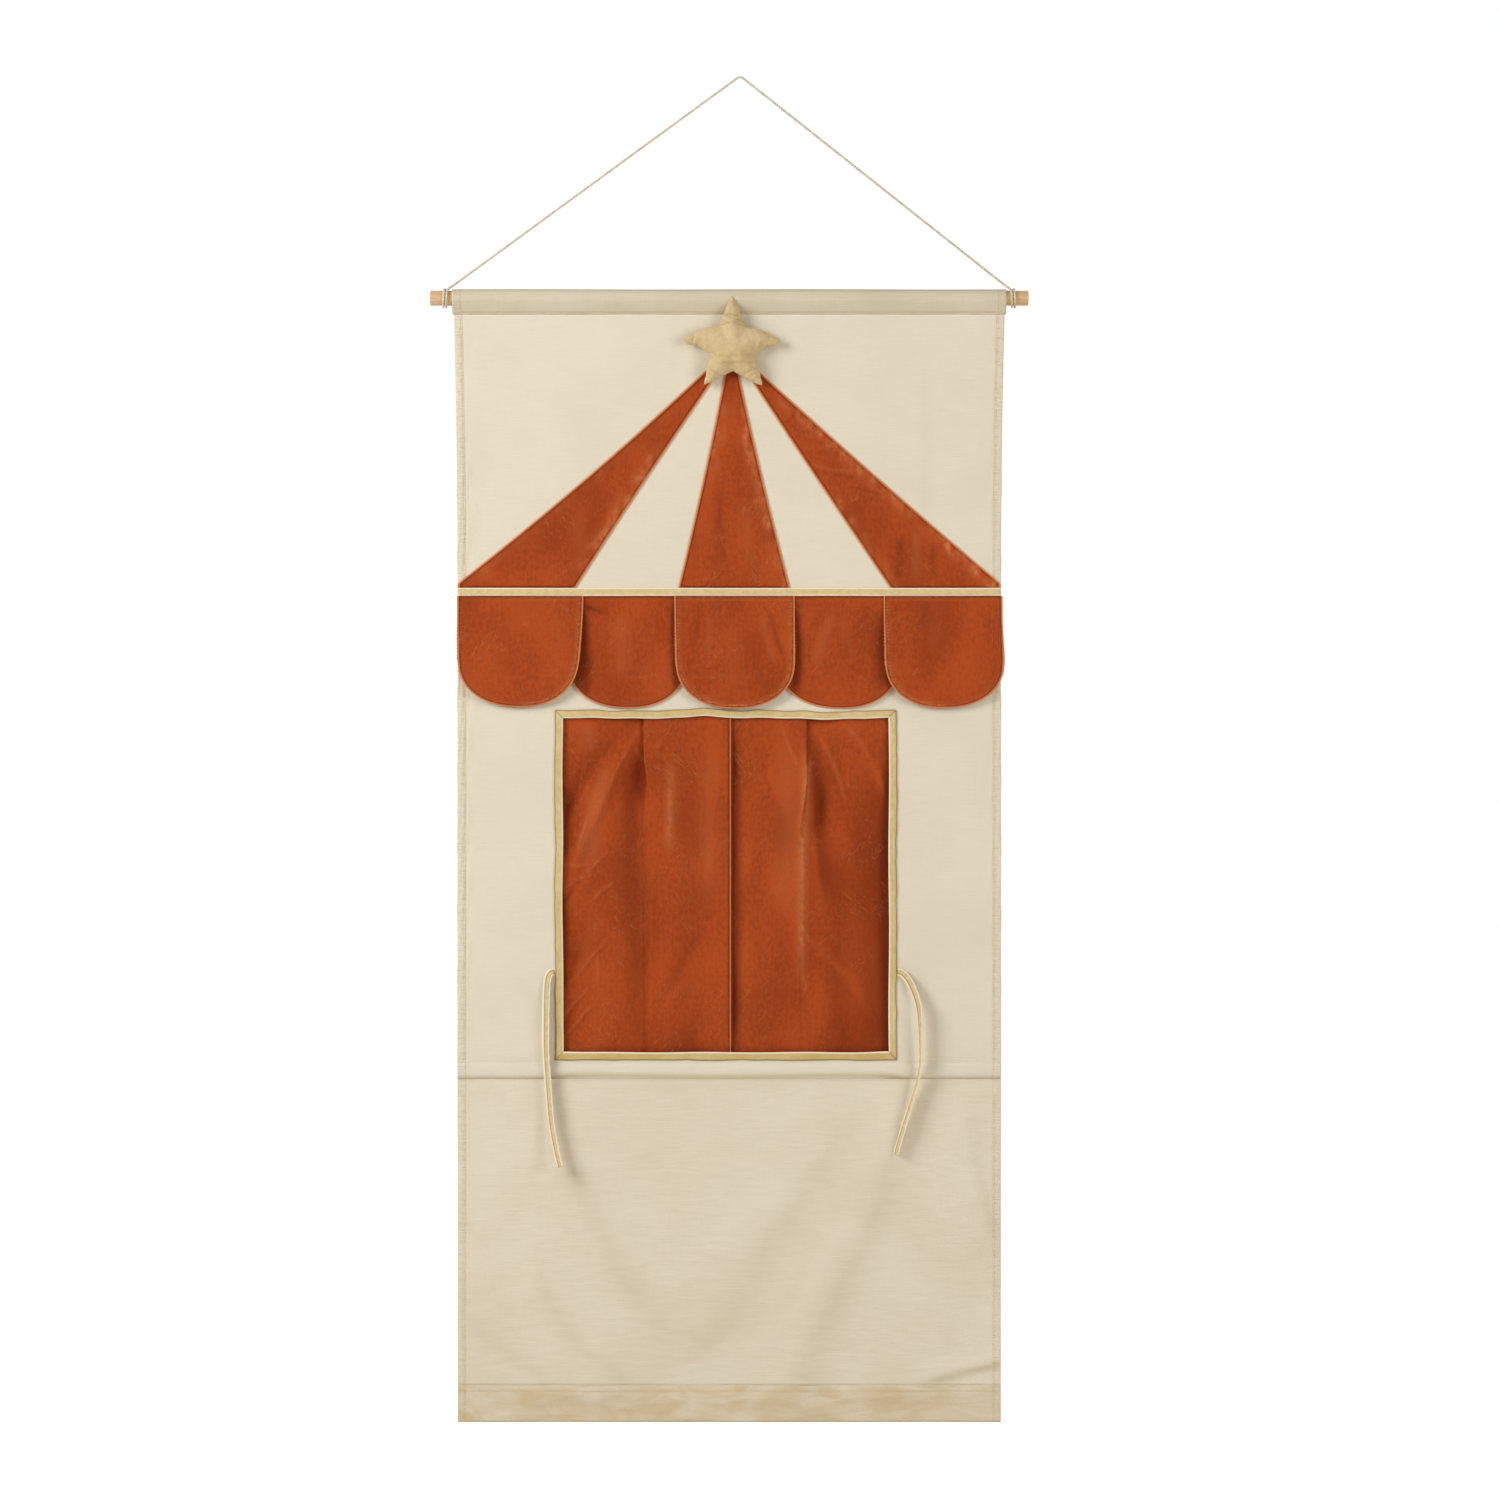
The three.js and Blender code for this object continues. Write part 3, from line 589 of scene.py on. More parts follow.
@dataclass(frozen=True)
class SandedBeech:
    """Turned beech rod, sanded and bare: pale tan, fine straight grain and short dark flecks."""

    name: str = "beech_turned_sanded"
    early: str = "#E4C69A"
    late: str = "#D0A873"
    fleck: str = "#A98255"
    grain_width: float = 1.7
    grain_length: float = 120.0

    def make(self) -> bpy.types.Material:
        """Builds the material.

        Returns:
            Wood whose grain runs along X and shows as fine dots on the sawn ends.
        """
        material, tree, where = new_material(self.name, Coordinates.SOLID)
        width = self.grain_width
        grain = speckle(tree, where, (self.grain_length, width, width), 4, 0.6)
        flecks = speckle(tree, where, (3.4, 0.45, 0.45), 1)
        patches = speckle(tree, where, (60, 9, 9), 2)
        tone = add_node(tree, "Math", (patches, 0.5, grain), operation="MULTIPLY_ADD")
        late = add_node(tree, "MapRange", (tone, 0.55, 0.95), **SMOOTH)
        marks = add_node(tree, "MapRange", (flecks, 0.6, 0.74, 0, 0.6), **SMOOTH)
        colour = linear(self.early)
        for share, tint in ((late, self.late), (marks, self.fleck)):
            colour = add_node(tree, "Mix", {0: share, 6: colour, 7: linear(tint)}, 2, **TINT)
        relief = ((grain, 0.12), (flecks, 0.05))
        finish_shader(tree, colour, relief, {"Roughness": 0.55, "Specular IOR Level": 0.4})
        return material


@dataclass(frozen=True)
class Finishes:
    """Every finish of the theatre, made once."""

    canvas: bpy.types.Material = field(default_factory=CottonCanvas().make)
    sleeve_canvas: bpy.types.Material = field(
        default_factory=CottonCanvas("cotton_canvas_sleeve", "#DDD2B9", "#D4C8AD").make
    )
    skirt_canvas: bpy.types.Material = field(
        default_factory=CottonCanvas(
            "cotton_canvas_skirt", "#E8DDC6", "#E1D5BC", "#D2BC93", "#D3B88D", crease_depth=0.8
        ).make
    )
    rust_velvet: bpy.types.Material = field(
        default_factory=CottonVelvet(
            "cotton_velveteen_rust", "#B04B1D", "#993D15", "#D4814F", "#742908", crinkle=0.2
        ).make
    )
    sand_velvet: bpy.types.Material = field(
        default_factory=CottonVelvet(
            "cotton_velveteen_sand", "#D8C295", "#CAB181", "#EADBB6", "#937A48", Coordinates.SOLID
        ).make
    )
    tape: bpy.types.Material = field(default_factory=FoldedTape().make)
    # The narrow tape's seam line is painted shadow, and its lip, beyond the seam, a painted
    # highlight.
    tie_tape: bpy.types.Material = field(
        default_factory=FoldedTape(
            "velvet_tape_narrow", "#DCC697", "#CDB687", seam="#A5895A", seam_place=7, lip=0.8
        ).make
    )
    cord: bpy.types.Material = field(
        default_factory=SpunCotton("cotton_cord_three_strand", "#EDE4D2", "#C9BBA0").make
    )
    rust_thread: bpy.types.Material = field(
        default_factory=SpunCotton("cotton_thread_rust", "#A04824", "#7E3418").make
    )
    pale_thread: bpy.types.Material = field(
        default_factory=SpunCotton("cotton_thread_pale", "#E4D9BF", "#CDBE9C").make
    )
    wood: bpy.types.Material = field(default_factory=SandedBeech().make)


def finish_object(
    mesh_data: bpy.types.Mesh, name: str, material: bpy.types.Material
) -> bpy.types.Object:
    """Links a mesh as a smooth piece at the origin, with one finish.

    Args:
        mesh_data: The mesh, placed in the frame.
        name: The piece's name.
        material: Its finish.

    Returns:
        The piece.
    """
    mesh_data.name = name
    mesh_data.materials.clear()
    mesh_data.materials.append(material)
    for polygon in mesh_data.polygons:
        polygon.use_smooth = True
    piece = bpy.data.objects.new(name, mesh_data)
    bpy.context.scene.collection.objects.link(piece)
    return piece


def settle(
    piece: bpy.types.Object, body: str, slot: str, replaced: str | None = None
) -> bpy.types.Object:
    """Reports a finished piece and ties it to the part.

    Args:
        piece: The piece.
        body: The body that it moves with.
        slot: Its material slot; not used.
        replaced: The solid that it stands in for, if there is one.

    Returns:
        The piece.
    """
    LOG.info("%s: %d faces", piece.name, len(piece.data.polygons))
    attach(piece, body)
    if replaced:
        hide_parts(replaced)
    return piece


def solidify(piece: bpy.types.Object, thickness: float, hems: bool = False) -> None:
    """Gives a sheet its thickness behind its face.

    Args:
        piece: The sheet, whose mesh is its front face.
        thickness: The cloth's thickness in millimetres.
        hems: Whether the vertices of the hem group are twice as thick.
    """
    modifier = piece.modifiers.new("thickness", "SOLIDIFY")
    modifier.offset = -1
    modifier.thickness = thickness * MM * (2 if hems else 1)
    if hems:
        modifier.vertex_group = HEM_GROUP
        modifier.thickness_vertex_group = 0.5


def steps(low: float, high: float, count: int) -> list[float]:
    """Even places from low to high."""
    return [low + (high - low) * i / count for i in range(count + 1)]


def numbered(items: Sequence[Any]) -> list[float]:
    """The items' numbers, for a cloth whose rows or columns are looked up by number."""
    return [float(i) for i in range(len(items))]


def reaches_along(points: Sequence[Sequence[float]]) -> list[float]:
    """How far along a line of points each one is."""
    return list(accumulate(map(math.dist, points, points[1:]), initial=0))


def places(stops: Sequence[float], spacings: Sequence[float]) -> list[float]:
    """Places that pass through every stop, with a wanted spacing between each pair.

    Args:
        stops: Places that have to be met, in order.
        spacings: The wanted distance between places, for each stretch.

    Returns:
        The places in order.
    """
    found = [stops[0]]
    for low, high, spacing in zip(stops, stops[1:], spacings):
        count = max(1, round((high - low) / spacing))
        found.extend(steps(low, high, count)[1:])
    return found


def cloth_grid(
    name: str,
    across: Sequence[float],
    down: Sequence[float],
    place: Place,
    material: bpy.types.Material,
    edge_at: Measure | None = None,
    measure: Place | None = None,
    keep: Callable[[float, float], bool] | None = None,
    hem_at: Measure | None = None,
    flip: bool = False,
    wear_and_highlight_at: Measure | None = None,
    shade_and_tone_at: Measure | None = None,
) -> bpy.types.Object:
    """Makes a sheet from a grid, laid by a function of its two measures.

    Args:
        name: The piece's name.
        across: The measures of the columns, left to right.
        down: The measures of the rows, top to bottom.
        place: The point in the frame, in metres, for a column and a row.
        material: The sheet's finish.
        edge_at: How far a point is from the cut edge, in millimetres.
        measure: The point's place along the threads, in metres; the column and row by default.
        keep: Whether the face about a point stays.
        hem_at: How much darker the doubled cloth of a hem looks at a point; 0 outside a hem.
        flip: Whether the faces have to be turned round.
        wear_and_highlight_at: How far the cloth is paled at a point, from 0 to 1: worn pile, and in
            places a painted highlight.
        shade_and_tone_at: How much painted shade a point has, or painted light where it is below
            zero; on the window binding, how much darker the tape is.

    Returns:
        The sheet, as a single layer.
    """
    columns, rows = len(across) - 1, len(down) - 1
    shape = bmesh.new()
    bmesh.ops.create_grid(shape, x_segments=columns, y_segments=rows, size=0.5)
    threads = shape.loops.layers.uv.new(WEAVE_MAP)
    edges = shape.verts.layers.float.new(EDGE_LAYER)
    wear = shape.verts.layers.float.new(WEAR_AND_HIGHLIGHT_LAYER)
    doubles = shape.verts.layers.float.new(DOUBLED_LAYER)
    # Painted shade and light, and on the window binding the tape's darker patches.
    shade_and_tone_marks = shape.verts.layers.float.new(SHADE_AND_TONE_LAYER)
    spots = {}
    for vertex in shape.verts:
        column = round((vertex.co.x + 0.5) * columns)
        row = rows - round((vertex.co.y + 0.5) * rows)
        spots[vertex] = (across[column], down[row])
    for vertex, (u, v) in spots.items():
        vertex.co = place(u, v)
        vertex[edges] = edge_at(u, v) if edge_at else 100
        vertex[wear] = min(max(wear_and_highlight_at(u, v), 0), 1) if wear_and_highlight_at else 0
        vertex[doubles] = hem_at(u, v) if hem_at else 0
        vertex[shade_and_tone_marks] = shade_and_tone_at(u, v) if shade_and_tone_at else 0
    for face in shape.faces:
        for loop in face.loops:
            u, v = spots[loop.vert]
            spot = measure(u, v) if measure else Vector((u * MM, -v * MM, 0))
            loop[threads].uv = (spot.x, spot.y)
    if keep:
        gone = []
        for face in shape.faces:
            us, vs = zip(*(spots[vertex] for vertex in face.verts))
            if not keep(sum(us) / len(us), sum(vs) / len(vs)):
                gone.append(face)
        bmesh.ops.delete(shape, geom=gone, context="FACES")
    if flip:
        bmesh.ops.reverse_faces(shape, faces=shape.faces)
    hem_flags = [vertex[doubles] > 0 for vertex in shape.verts]
    mesh_data = bpy.data.meshes.new(name)
    shape.to_mesh(mesh_data)
    shape.free()
    piece = finish_object(mesh_data, name, material)
    if hem_at:
        group = piece.vertex_groups.new(name=HEM_GROUP)
        group.add([i for i, hemmed in enumerate(hem_flags) if hemmed], 1, "REPLACE")
    return piece


def sew(
    name: str,
    runs: Sequence[Sequence[tuple[Vector, Vector]]],
    material: bpy.types.Material,
    width: float = 0.6,
) -> bpy.types.Object:
    """Lays a row of thread stitches along each run.

    Args:
        name: The piece's name.
        runs: For each run, the stitches' ends, in metres.
        material: The thread's finish.
        width: The thread's width, in millimetres.

    Returns:
        One piece that holds all the stitches.
    """
    mesh_data = bpy.data.meshes.new(name)
    whole = bmesh.new()
    for run in runs:
        row = bmesh.new()
        for start, end in run:
            along = end - start
            turn = along.to_track_quat("X", "Z").to_matrix().to_4x4()
            shape = Matrix.Diagonal((along.length / 2, width * MM / 2, width * MM / 2, 1))
            spot = Matrix.Translation((start + end) / 2)
            bmesh.ops.create_icosphere(row, subdivisions=1, radius=1, matrix=spot @ turn @ shape)
        part = bpy.data.meshes.new("run")
        row.to_mesh(part)
        row.free()
        whole.from_mesh(part)
        bpy.data.meshes.remove(part)
    whole.to_mesh(mesh_data)
    whole.free()
    return finish_object(mesh_data, name, material)


def stitches_along(
    line: Callable[[float], Vector], total: float, length: float = 2.6, gap: float = 1.1
) -> list[tuple[Vector, Vector]]:
    """Places stitches along a line.

    Args:
        line: The point, in metres, at a distance along the line in millimetres.
        total: The line's length in millimetres.
        length: A stitch's length.
        gap: The space between two stitches.

    Returns:
        The two ends of each stitch.
    """
    pitch = length + gap
    count = max(1, int((total - gap) / pitch))
    spare = (total - count * pitch + gap) / 2
    starts = [spare + i * pitch for i in range(count)]
    return [(line(start), line(start + length)) for start in starts]


def polyline(points: Sequence[Vector]) -> tuple[Callable[[float], Vector], float]:
    """A line through points, measured along its length.

    Args:
        points: Points in metres.

    Returns:
        A function from a distance in millimetres to a point, and the whole length.
    """
    reaches = [0]
    for before, after in zip(points, points[1:]):
        reaches.append(reaches[-1] + (after - before).length / MM)

    def at(distance: float) -> Vector:
        """The point at a distance, held to the line's ends."""
        distance = min(max(distance, 0), reaches[-1])
        high = min(bisect_right(reaches, distance), len(reaches) - 1)
        low = high - 1
        stretch = reaches[high] - reaches[low]
        share = (distance - reaches[low]) / stretch if stretch else 0
        return points[low].lerp(points[high], share)

    return at, reaches[-1]


def routed(points: Sequence[Vector], per_span: int) -> list[Vector]:
    """A smooth centripetal curve through points.

    Args:
        points: The points that the curve passes through.
        per_span: Steps between each pair of points.

    Returns:
        Points along the curve.
    """
    ends = [points[0] * 2 - points[1], *points, points[-1] * 2 - points[-2]]
    curve = []
    for i in range(1, len(ends) - 2):
        before, start, end, after = ends[i - 1 : i + 3]
        d0 = max((start - before).length ** 0.5, 1e-6)
        d1 = max((end - start).length ** 0.5, 1e-6)
        d2 = max((after - end).length ** 0.5, 1e-6)
        leave = (start - before) / d0 - (end - before) / (d0 + d1) + (end - start) / d1
        arrive = (end - start) / d1 - (after - start) / (d1 + d2) + (after - end) / d2
        leave *= d1
        arrive *= d1
        for step in range(per_span):
            t = step / per_span
            curve.append(
                start * (2 * t**3 - 3 * t**2 + 1)
                + leave * (t**3 - 2 * t**2 + t)
                + end * (-2 * t**3 + 3 * t**2)
                + arrive * (t**3 - t**2)
            )
    curve.append(points[-1].copy())
    return curve


@dataclass(frozen=True)
class Crease:
    """A soft ridge in hanging cloth, or a hollow where its depth is below zero.
    As a mark of painted shade, its depth is how dark it is, and below zero it is painted light.

    Its right side, seen along the path, may be steeper than its left side.
    """

    path: tuple[tuple[float, float], ...]
    width: float
    depth: float
    # worn pales the pile along the crease: worn pile, and on some ridges a painted highlight.
    worn: float = 0.0
    worn_width: float = 2.0
    right_width: float | None = None

    def _nearest(self, x: float, drop: float) -> tuple[float, float]:
        """How far a place is from the crease, below zero on its right side.

        Args:
            x: The place across the banner.
            drop: The place down it.

        Returns:
            The distance, and the crease's strength there: 1, and fading towards its ends.
        """
        best, spot, reach = math.inf, 0, 0
        for (start_x, start_drop), (end_x, end_drop) in zip(self.path, self.path[1:]):
            run_x, run_down = end_x - start_x, end_drop - start_drop
            off_x, off_down = x - start_x, drop - start_drop
            length = math.hypot(run_x, run_down)
            held = min(max((off_x * run_x + off_down * run_down) / length**2, 0), 1)
            away = math.hypot(off_x - held * run_x, off_down - held * run_down)
            if away < abs(best):
                side = run_x * off_down - run_down * off_x
                best, spot = math.copysign(away, side), reach + held * length
            reach += length
        place = spot / reach
        return best, smooth_step(0, 0.25, place) * (1 - smooth_step(0.75, 1, place))

    def lift(self, x: float, drop: float) -> float:
        """How far forward the crease brings the cloth at a place.

        Args:
            x: The place across the banner.
            drop: The place down it.

        Returns:
            The lift, in the measure of the crease's depth.
        """
        away, strength = self._nearest(x, drop)
        width = self.right_width if self.right_width and away < 0 else self.width
        return self.depth * strength * bell(away, 0, width)

    def wear(self, x: float, drop: float) -> float:
        """How far the crease pales the cloth at a place: worn pile, and on some ridges a painted
        highlight.

        Args:
            x: The place across the banner.
            drop: The place down it.

        Returns:
            A share from 0 to 1.
        """
        if not self.worn:
            return 0
        away, strength = self._nearest(x, drop)
        return self.worn * strength * bell(away, 0, self.worn_width)


def marked(marks: Sequence[Crease], x: float, drop: float) -> float:
    """Sums the soft marks, of height or of painted shade and light, that cross a place."""
    return sum(mark.lift(x, drop) for mark in marks)


@dataclass
class Banner:
    """The banner's own frame: its outline, its layers and how its cloth hangs."""

    width: float = 727.0
    top_width: float = 737.0
    sleeve_seam_drop: float = 21.8
    waist_drop: float = 386.0
    sill_drop: float = 1045.0
    casing_height: float = 22.0
    window_width: float = 436.0
    window_height: float = 447.0
    window_top_drop: float = 561.7
    window_middle: float = -4.6
    hem_width: float = 10.7
    thickness: float = 1.2
    gap: float = 0.3
    drape_depth: float = 1.5
    bar_swell: float = 1.3
    middle: Vector = field(default_factory=Vector)

    def __post_init__(self) -> None:
        """Finds the dowel's middle, from which the banner is measured."""
        low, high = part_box("dowel")
        self.middle = (low + high) / 2

    @property
    def casing_top_drop(self) -> float:
        """Where the panel ends and the sill casing begins."""
        return self.sill_drop - self.casing_height

    def face_of_layer(self, layer: float) -> float:
        """How far forward the face of a layer lies; layer 0 is the panel."""
        return -self.thickness / 2 - layer * (self.thickness + self.gap)

    def half_width(self, drop: float) -> float:
        """Half the banner's width at a drop: it flares a little towards the sleeve."""
        rise = max(self.waist_drop - drop, 0) / (self.waist_drop - self.sleeve_seam_drop)
        return self.width / 2 + (self.top_width - self.width) / 2 * rise * rise

    def drape(self, x: float, drop: float) -> float:
        """How far the cloth moves back from its flat plane; every layer of a place moves alike.

        Args:
            x: The place across the banner.
            drop: The place down it.

        Returns:
            The distance, below zero where the cloth comes forward.
        """
        hold = smooth_step(130, 290, drop) * (1 - smooth_step(880, 1005, drop))
        slow = math.sin(x / 58 + drop / 410 + 0.8)
        slow += 0.7 * math.sin(x / 33 - drop / 230 + 2.1)
        slow += 0.5 * math.sin(drop / 71 + x / 160)
        side = bell(abs(x), self.width / 2, 24) * math.sin(drop / 15 + x)
        return self.drape_depth * hold * (0.45 * slow + 0.25 * side) - self.over_bar(drop)

    def over_bar(self, drop: float) -> float:
        """How far forward the cloth comes as it nears the bar in the sill."""
        return self.bar_swell * smooth_step(968, self.casing_top_drop, drop)

    def at(self, x: float, y: float, drop: float) -> Vector:
        """A point of the banner in the frame, in metres."""
        return self.middle + Vector((x, y + self.drape(x, drop), -drop)) * MM

    def sill_valley(self, x: float) -> float:
        """How far back the seam under the sill lies: deep at the sides, shallow in the middle."""
        return 2.5 * smooth_step(150, 228, self.off_middle(x)) - 1.2

    def off_middle(self, x: float) -> float:
        """How far to either side of the window's middle a place lies."""
        return abs(x - self.window_middle)

    def under_window(self, x: float) -> float:
        """A share from 0 to 1: how much of a place across the banner lies under the window."""
        return 1 - smooth_step(205, 232, self.off_middle(x))

    @property
    def hem_place(self) -> float:
        """How far from the middle the doubled side hems begin."""
        return self.width / 2 - self.hem_width

    def hem_relief(self, x: float) -> float:
        """How far back the doubled cloth's edges press at a place across the flat cloth."""
        inner = 0.32 * bell(abs(x), self.hem_place + 1.2, 1.6)
        return inner + 0.2 * bell(abs(x), self.width / 2, 2)

    def hem_pucker(self, x: float, drop: float) -> float:
        """The ripple beside a side hem's stitches, from -1 to 1."""
        wave = math.sin(drop / 2.9 + 2 * math.sin(drop / 19 + x))
        return wave * bell(abs(x), self.hem_place + 4, 5)

    def at_window(self, x: float, y: float, drop: float) -> Vector:
        """A point beside the window, where the tape pulls the cloth out of line; in metres.

        Args:
            x: The place across the banner.
            y: How far back the place lies in the flat cloth.
            drop: The place down the banner.

        Returns:
            The point, in metres.
        """
        held = 1 - smooth_step(1006, self.casing_top_drop - 1, drop)
        left_edge = self.window_middle - self.window_width / 2
        right_edge = self.window_middle + self.window_width / 2
        top = bell(drop, self.window_top_drop, 40)
        low = held * bell(drop, self.window_top_drop + self.window_height, 40)
        left, right = held * bell(x, left_edge, 26), held * bell(x, right_edge, 26)
        down = top * (0.9 * bell(x, -120, 45) - 3 * bell(x, -36, 20))
        down += top * (2.1 * bell(x, 132, 48) + 0.4 * math.sin(x / 9))
        down += low * (0.4 * math.sin(x / 21) - 1.2 * (left + right))
        across = left * (0.5 * math.sin(drop / 27) + 1.5 * smooth_step(860, 1000, drop))
        across += right * 0.45 * math.sin(drop / 33 + 1)
        return self.at(x + across, y, drop + down)


@dataclass
class Studio:
    """A white studio: a level camera a long way off, two large soft lamps and a pale floor."""

    camera_place: tuple[float, float, float] = (0.0134, -6, -0.8985)
    view_width: float = 2.007
    sensor_width: float = 36.0
    floor_drop: float = 2.02
    floor_size: float = 14.0
    world_strength: float = 0.285
    key_power: float = 91.0
    fill_power: float = 50.5
    lamp_distance: float = 3.6
    lamp_target: tuple[float, float, float] = (0, 0, -0.85)
    lamp_colour: tuple[float, float, float] = (0.985, 1, 1.05)

    def build(self) -> None:
        """Makes the camera, the lamps, the world and the floor."""
        self._camera()
        self._lamp("lamp_left", -58, 22, self.key_power, (1.3, 1.6))
        self._lamp("lamp_right", 54, 10, self.fill_power, (1.4, 2))
        self._world()
        self._floor()
        bpy.context.scene.view_settings.view_transform = "Standard"

    def _camera(self) -> None:
        """Adds the camera, level and a long way off."""
        data = bpy.data.cameras.new("camera")
        data.sensor_width = self.sensor_width
        data.lens = self.sensor_width * -self.camera_place[1] / self.view_width
        data.clip_end = 50
        camera = bpy.data.objects.new("camera", data)
        camera.location = self.camera_place
        camera.rotation_euler = (math.pi / 2, 0, 0)
        bpy.context.scene.collection.objects.link(camera)
        bpy.context.scene.camera = camera

    def _lamp(
        self, name: str, azimuth: float, elevation: float, power: float, size: tuple[float, float]
    ) -> None:
        """Adds a soft box that faces the middle of the banner.

        Args:
            name: The lamp's name.
            azimuth: How far to the right of the camera it stands, in degrees.
            elevation: How far above level it stands, in degrees.
            power: Its power in watts.
            size: Its width and height in metres.
        """
        data = bpy.data.lights.new(name, "AREA")
        data.shape = "RECTANGLE"
        data.size, data.size_y = size
        data.energy = power
        data.color = self.lamp_colour
        turn, rise = math.radians(azimuth), math.radians(elevation)
        away = Vector(
            (math.sin(turn) * math.cos(rise), -math.cos(turn) * math.cos(rise), math.sin(rise))
        )
        lamp = bpy.data.objects.new(name, data)
        lamp.location = Vector(self.lamp_target) + away * self.lamp_distance
        lamp.rotation_euler = (-away).to_track_quat("-Z", "Y").to_euler()
        bpy.context.scene.collection.objects.link(lamp)

    def _seen(self, tree: bpy.types.NodeTree) -> Socket:
        """1 for what the camera sees, also through glass or in a mirror.

        Args:
            tree: The nodes of the world or the floor.

        Returns:
            The share that the camera sees.
        """
        straight, mirrored, through = (
            add_node(tree, "LightPath", output=f"Is {kind} Ray")
            for kind in ("Camera", "Glossy", "Transmission")
        )
        turned = add_node(tree, "Math", (mirrored, through), operation="MAXIMUM")
        return add_node(tree, "Math", (straight, turned), operation="MAXIMUM")

    def _world(self) -> None:
        """Even light from all round, with a white background where the camera looks."""
        world = bpy.data.worlds.new("white_studio")
        world.use_nodes = True
        bpy.context.scene.world = world
        tree = world.node_tree
        light = add_node(tree, "Background", (linear("#FFF5E2"), self.world_strength))
        white = add_node(tree, "Background", ((1, 1, 1, 1), 1))
        both = add_node(tree, "MixShader", (self._seen(tree), light, white))
        tree.links.new(both, tree.nodes["World Output"].inputs[0])

    def _floor(self) -> None:
        """A pale floor that keeps the shadow and otherwise meets the white background."""
        shape = bmesh.new()
        bmesh.ops.create_grid(shape, x_segments=8, y_segments=8, size=self.floor_size / 2)
        bmesh.ops.translate(shape, verts=shape.verts, vec=(0, 0, -self.floor_drop))
        data = bpy.data.meshes.new("studio_floor")
        shape.to_mesh(data)
        shape.free()
        material, tree, where = new_material("paper_floor_matt", Coordinates.SOLID)
        grain = speckle(tree, where, (40, 40, 40))
        mixed = {0: grain, 6: linear("#F4F2EE"), 7: linear("#F0EEEA")}
        paper = add_node(tree, "Mix", mixed, 2, **TINT)
        surface = finish_shader(tree, paper, (), {"Roughness": 0.95, "Specular IOR Level": 0})
        strength = add_node(tree, "Math", (self._seen(tree), 0.85), operation="MULTIPLY")
        lit = add_node(tree, "AddShader", (surface, add_node(tree, "Emission", {1: strength})))
        behind = add_node(tree, "NewGeometry", output="Backfacing")
        clear = add_node(tree, "BsdfTransparent")
        both = add_node(tree, "MixShader", (behind, lit, clear))
        tree.links.new(both, tree.nodes["Material Output"].inputs[0])
        finish_object(data, "studio_floor", material)


@dataclass
class SubAssembly:
    """A group of the theatre's pieces, with what dresses them and the banner that places them."""

    finishes: Finishes
    banner: Banner


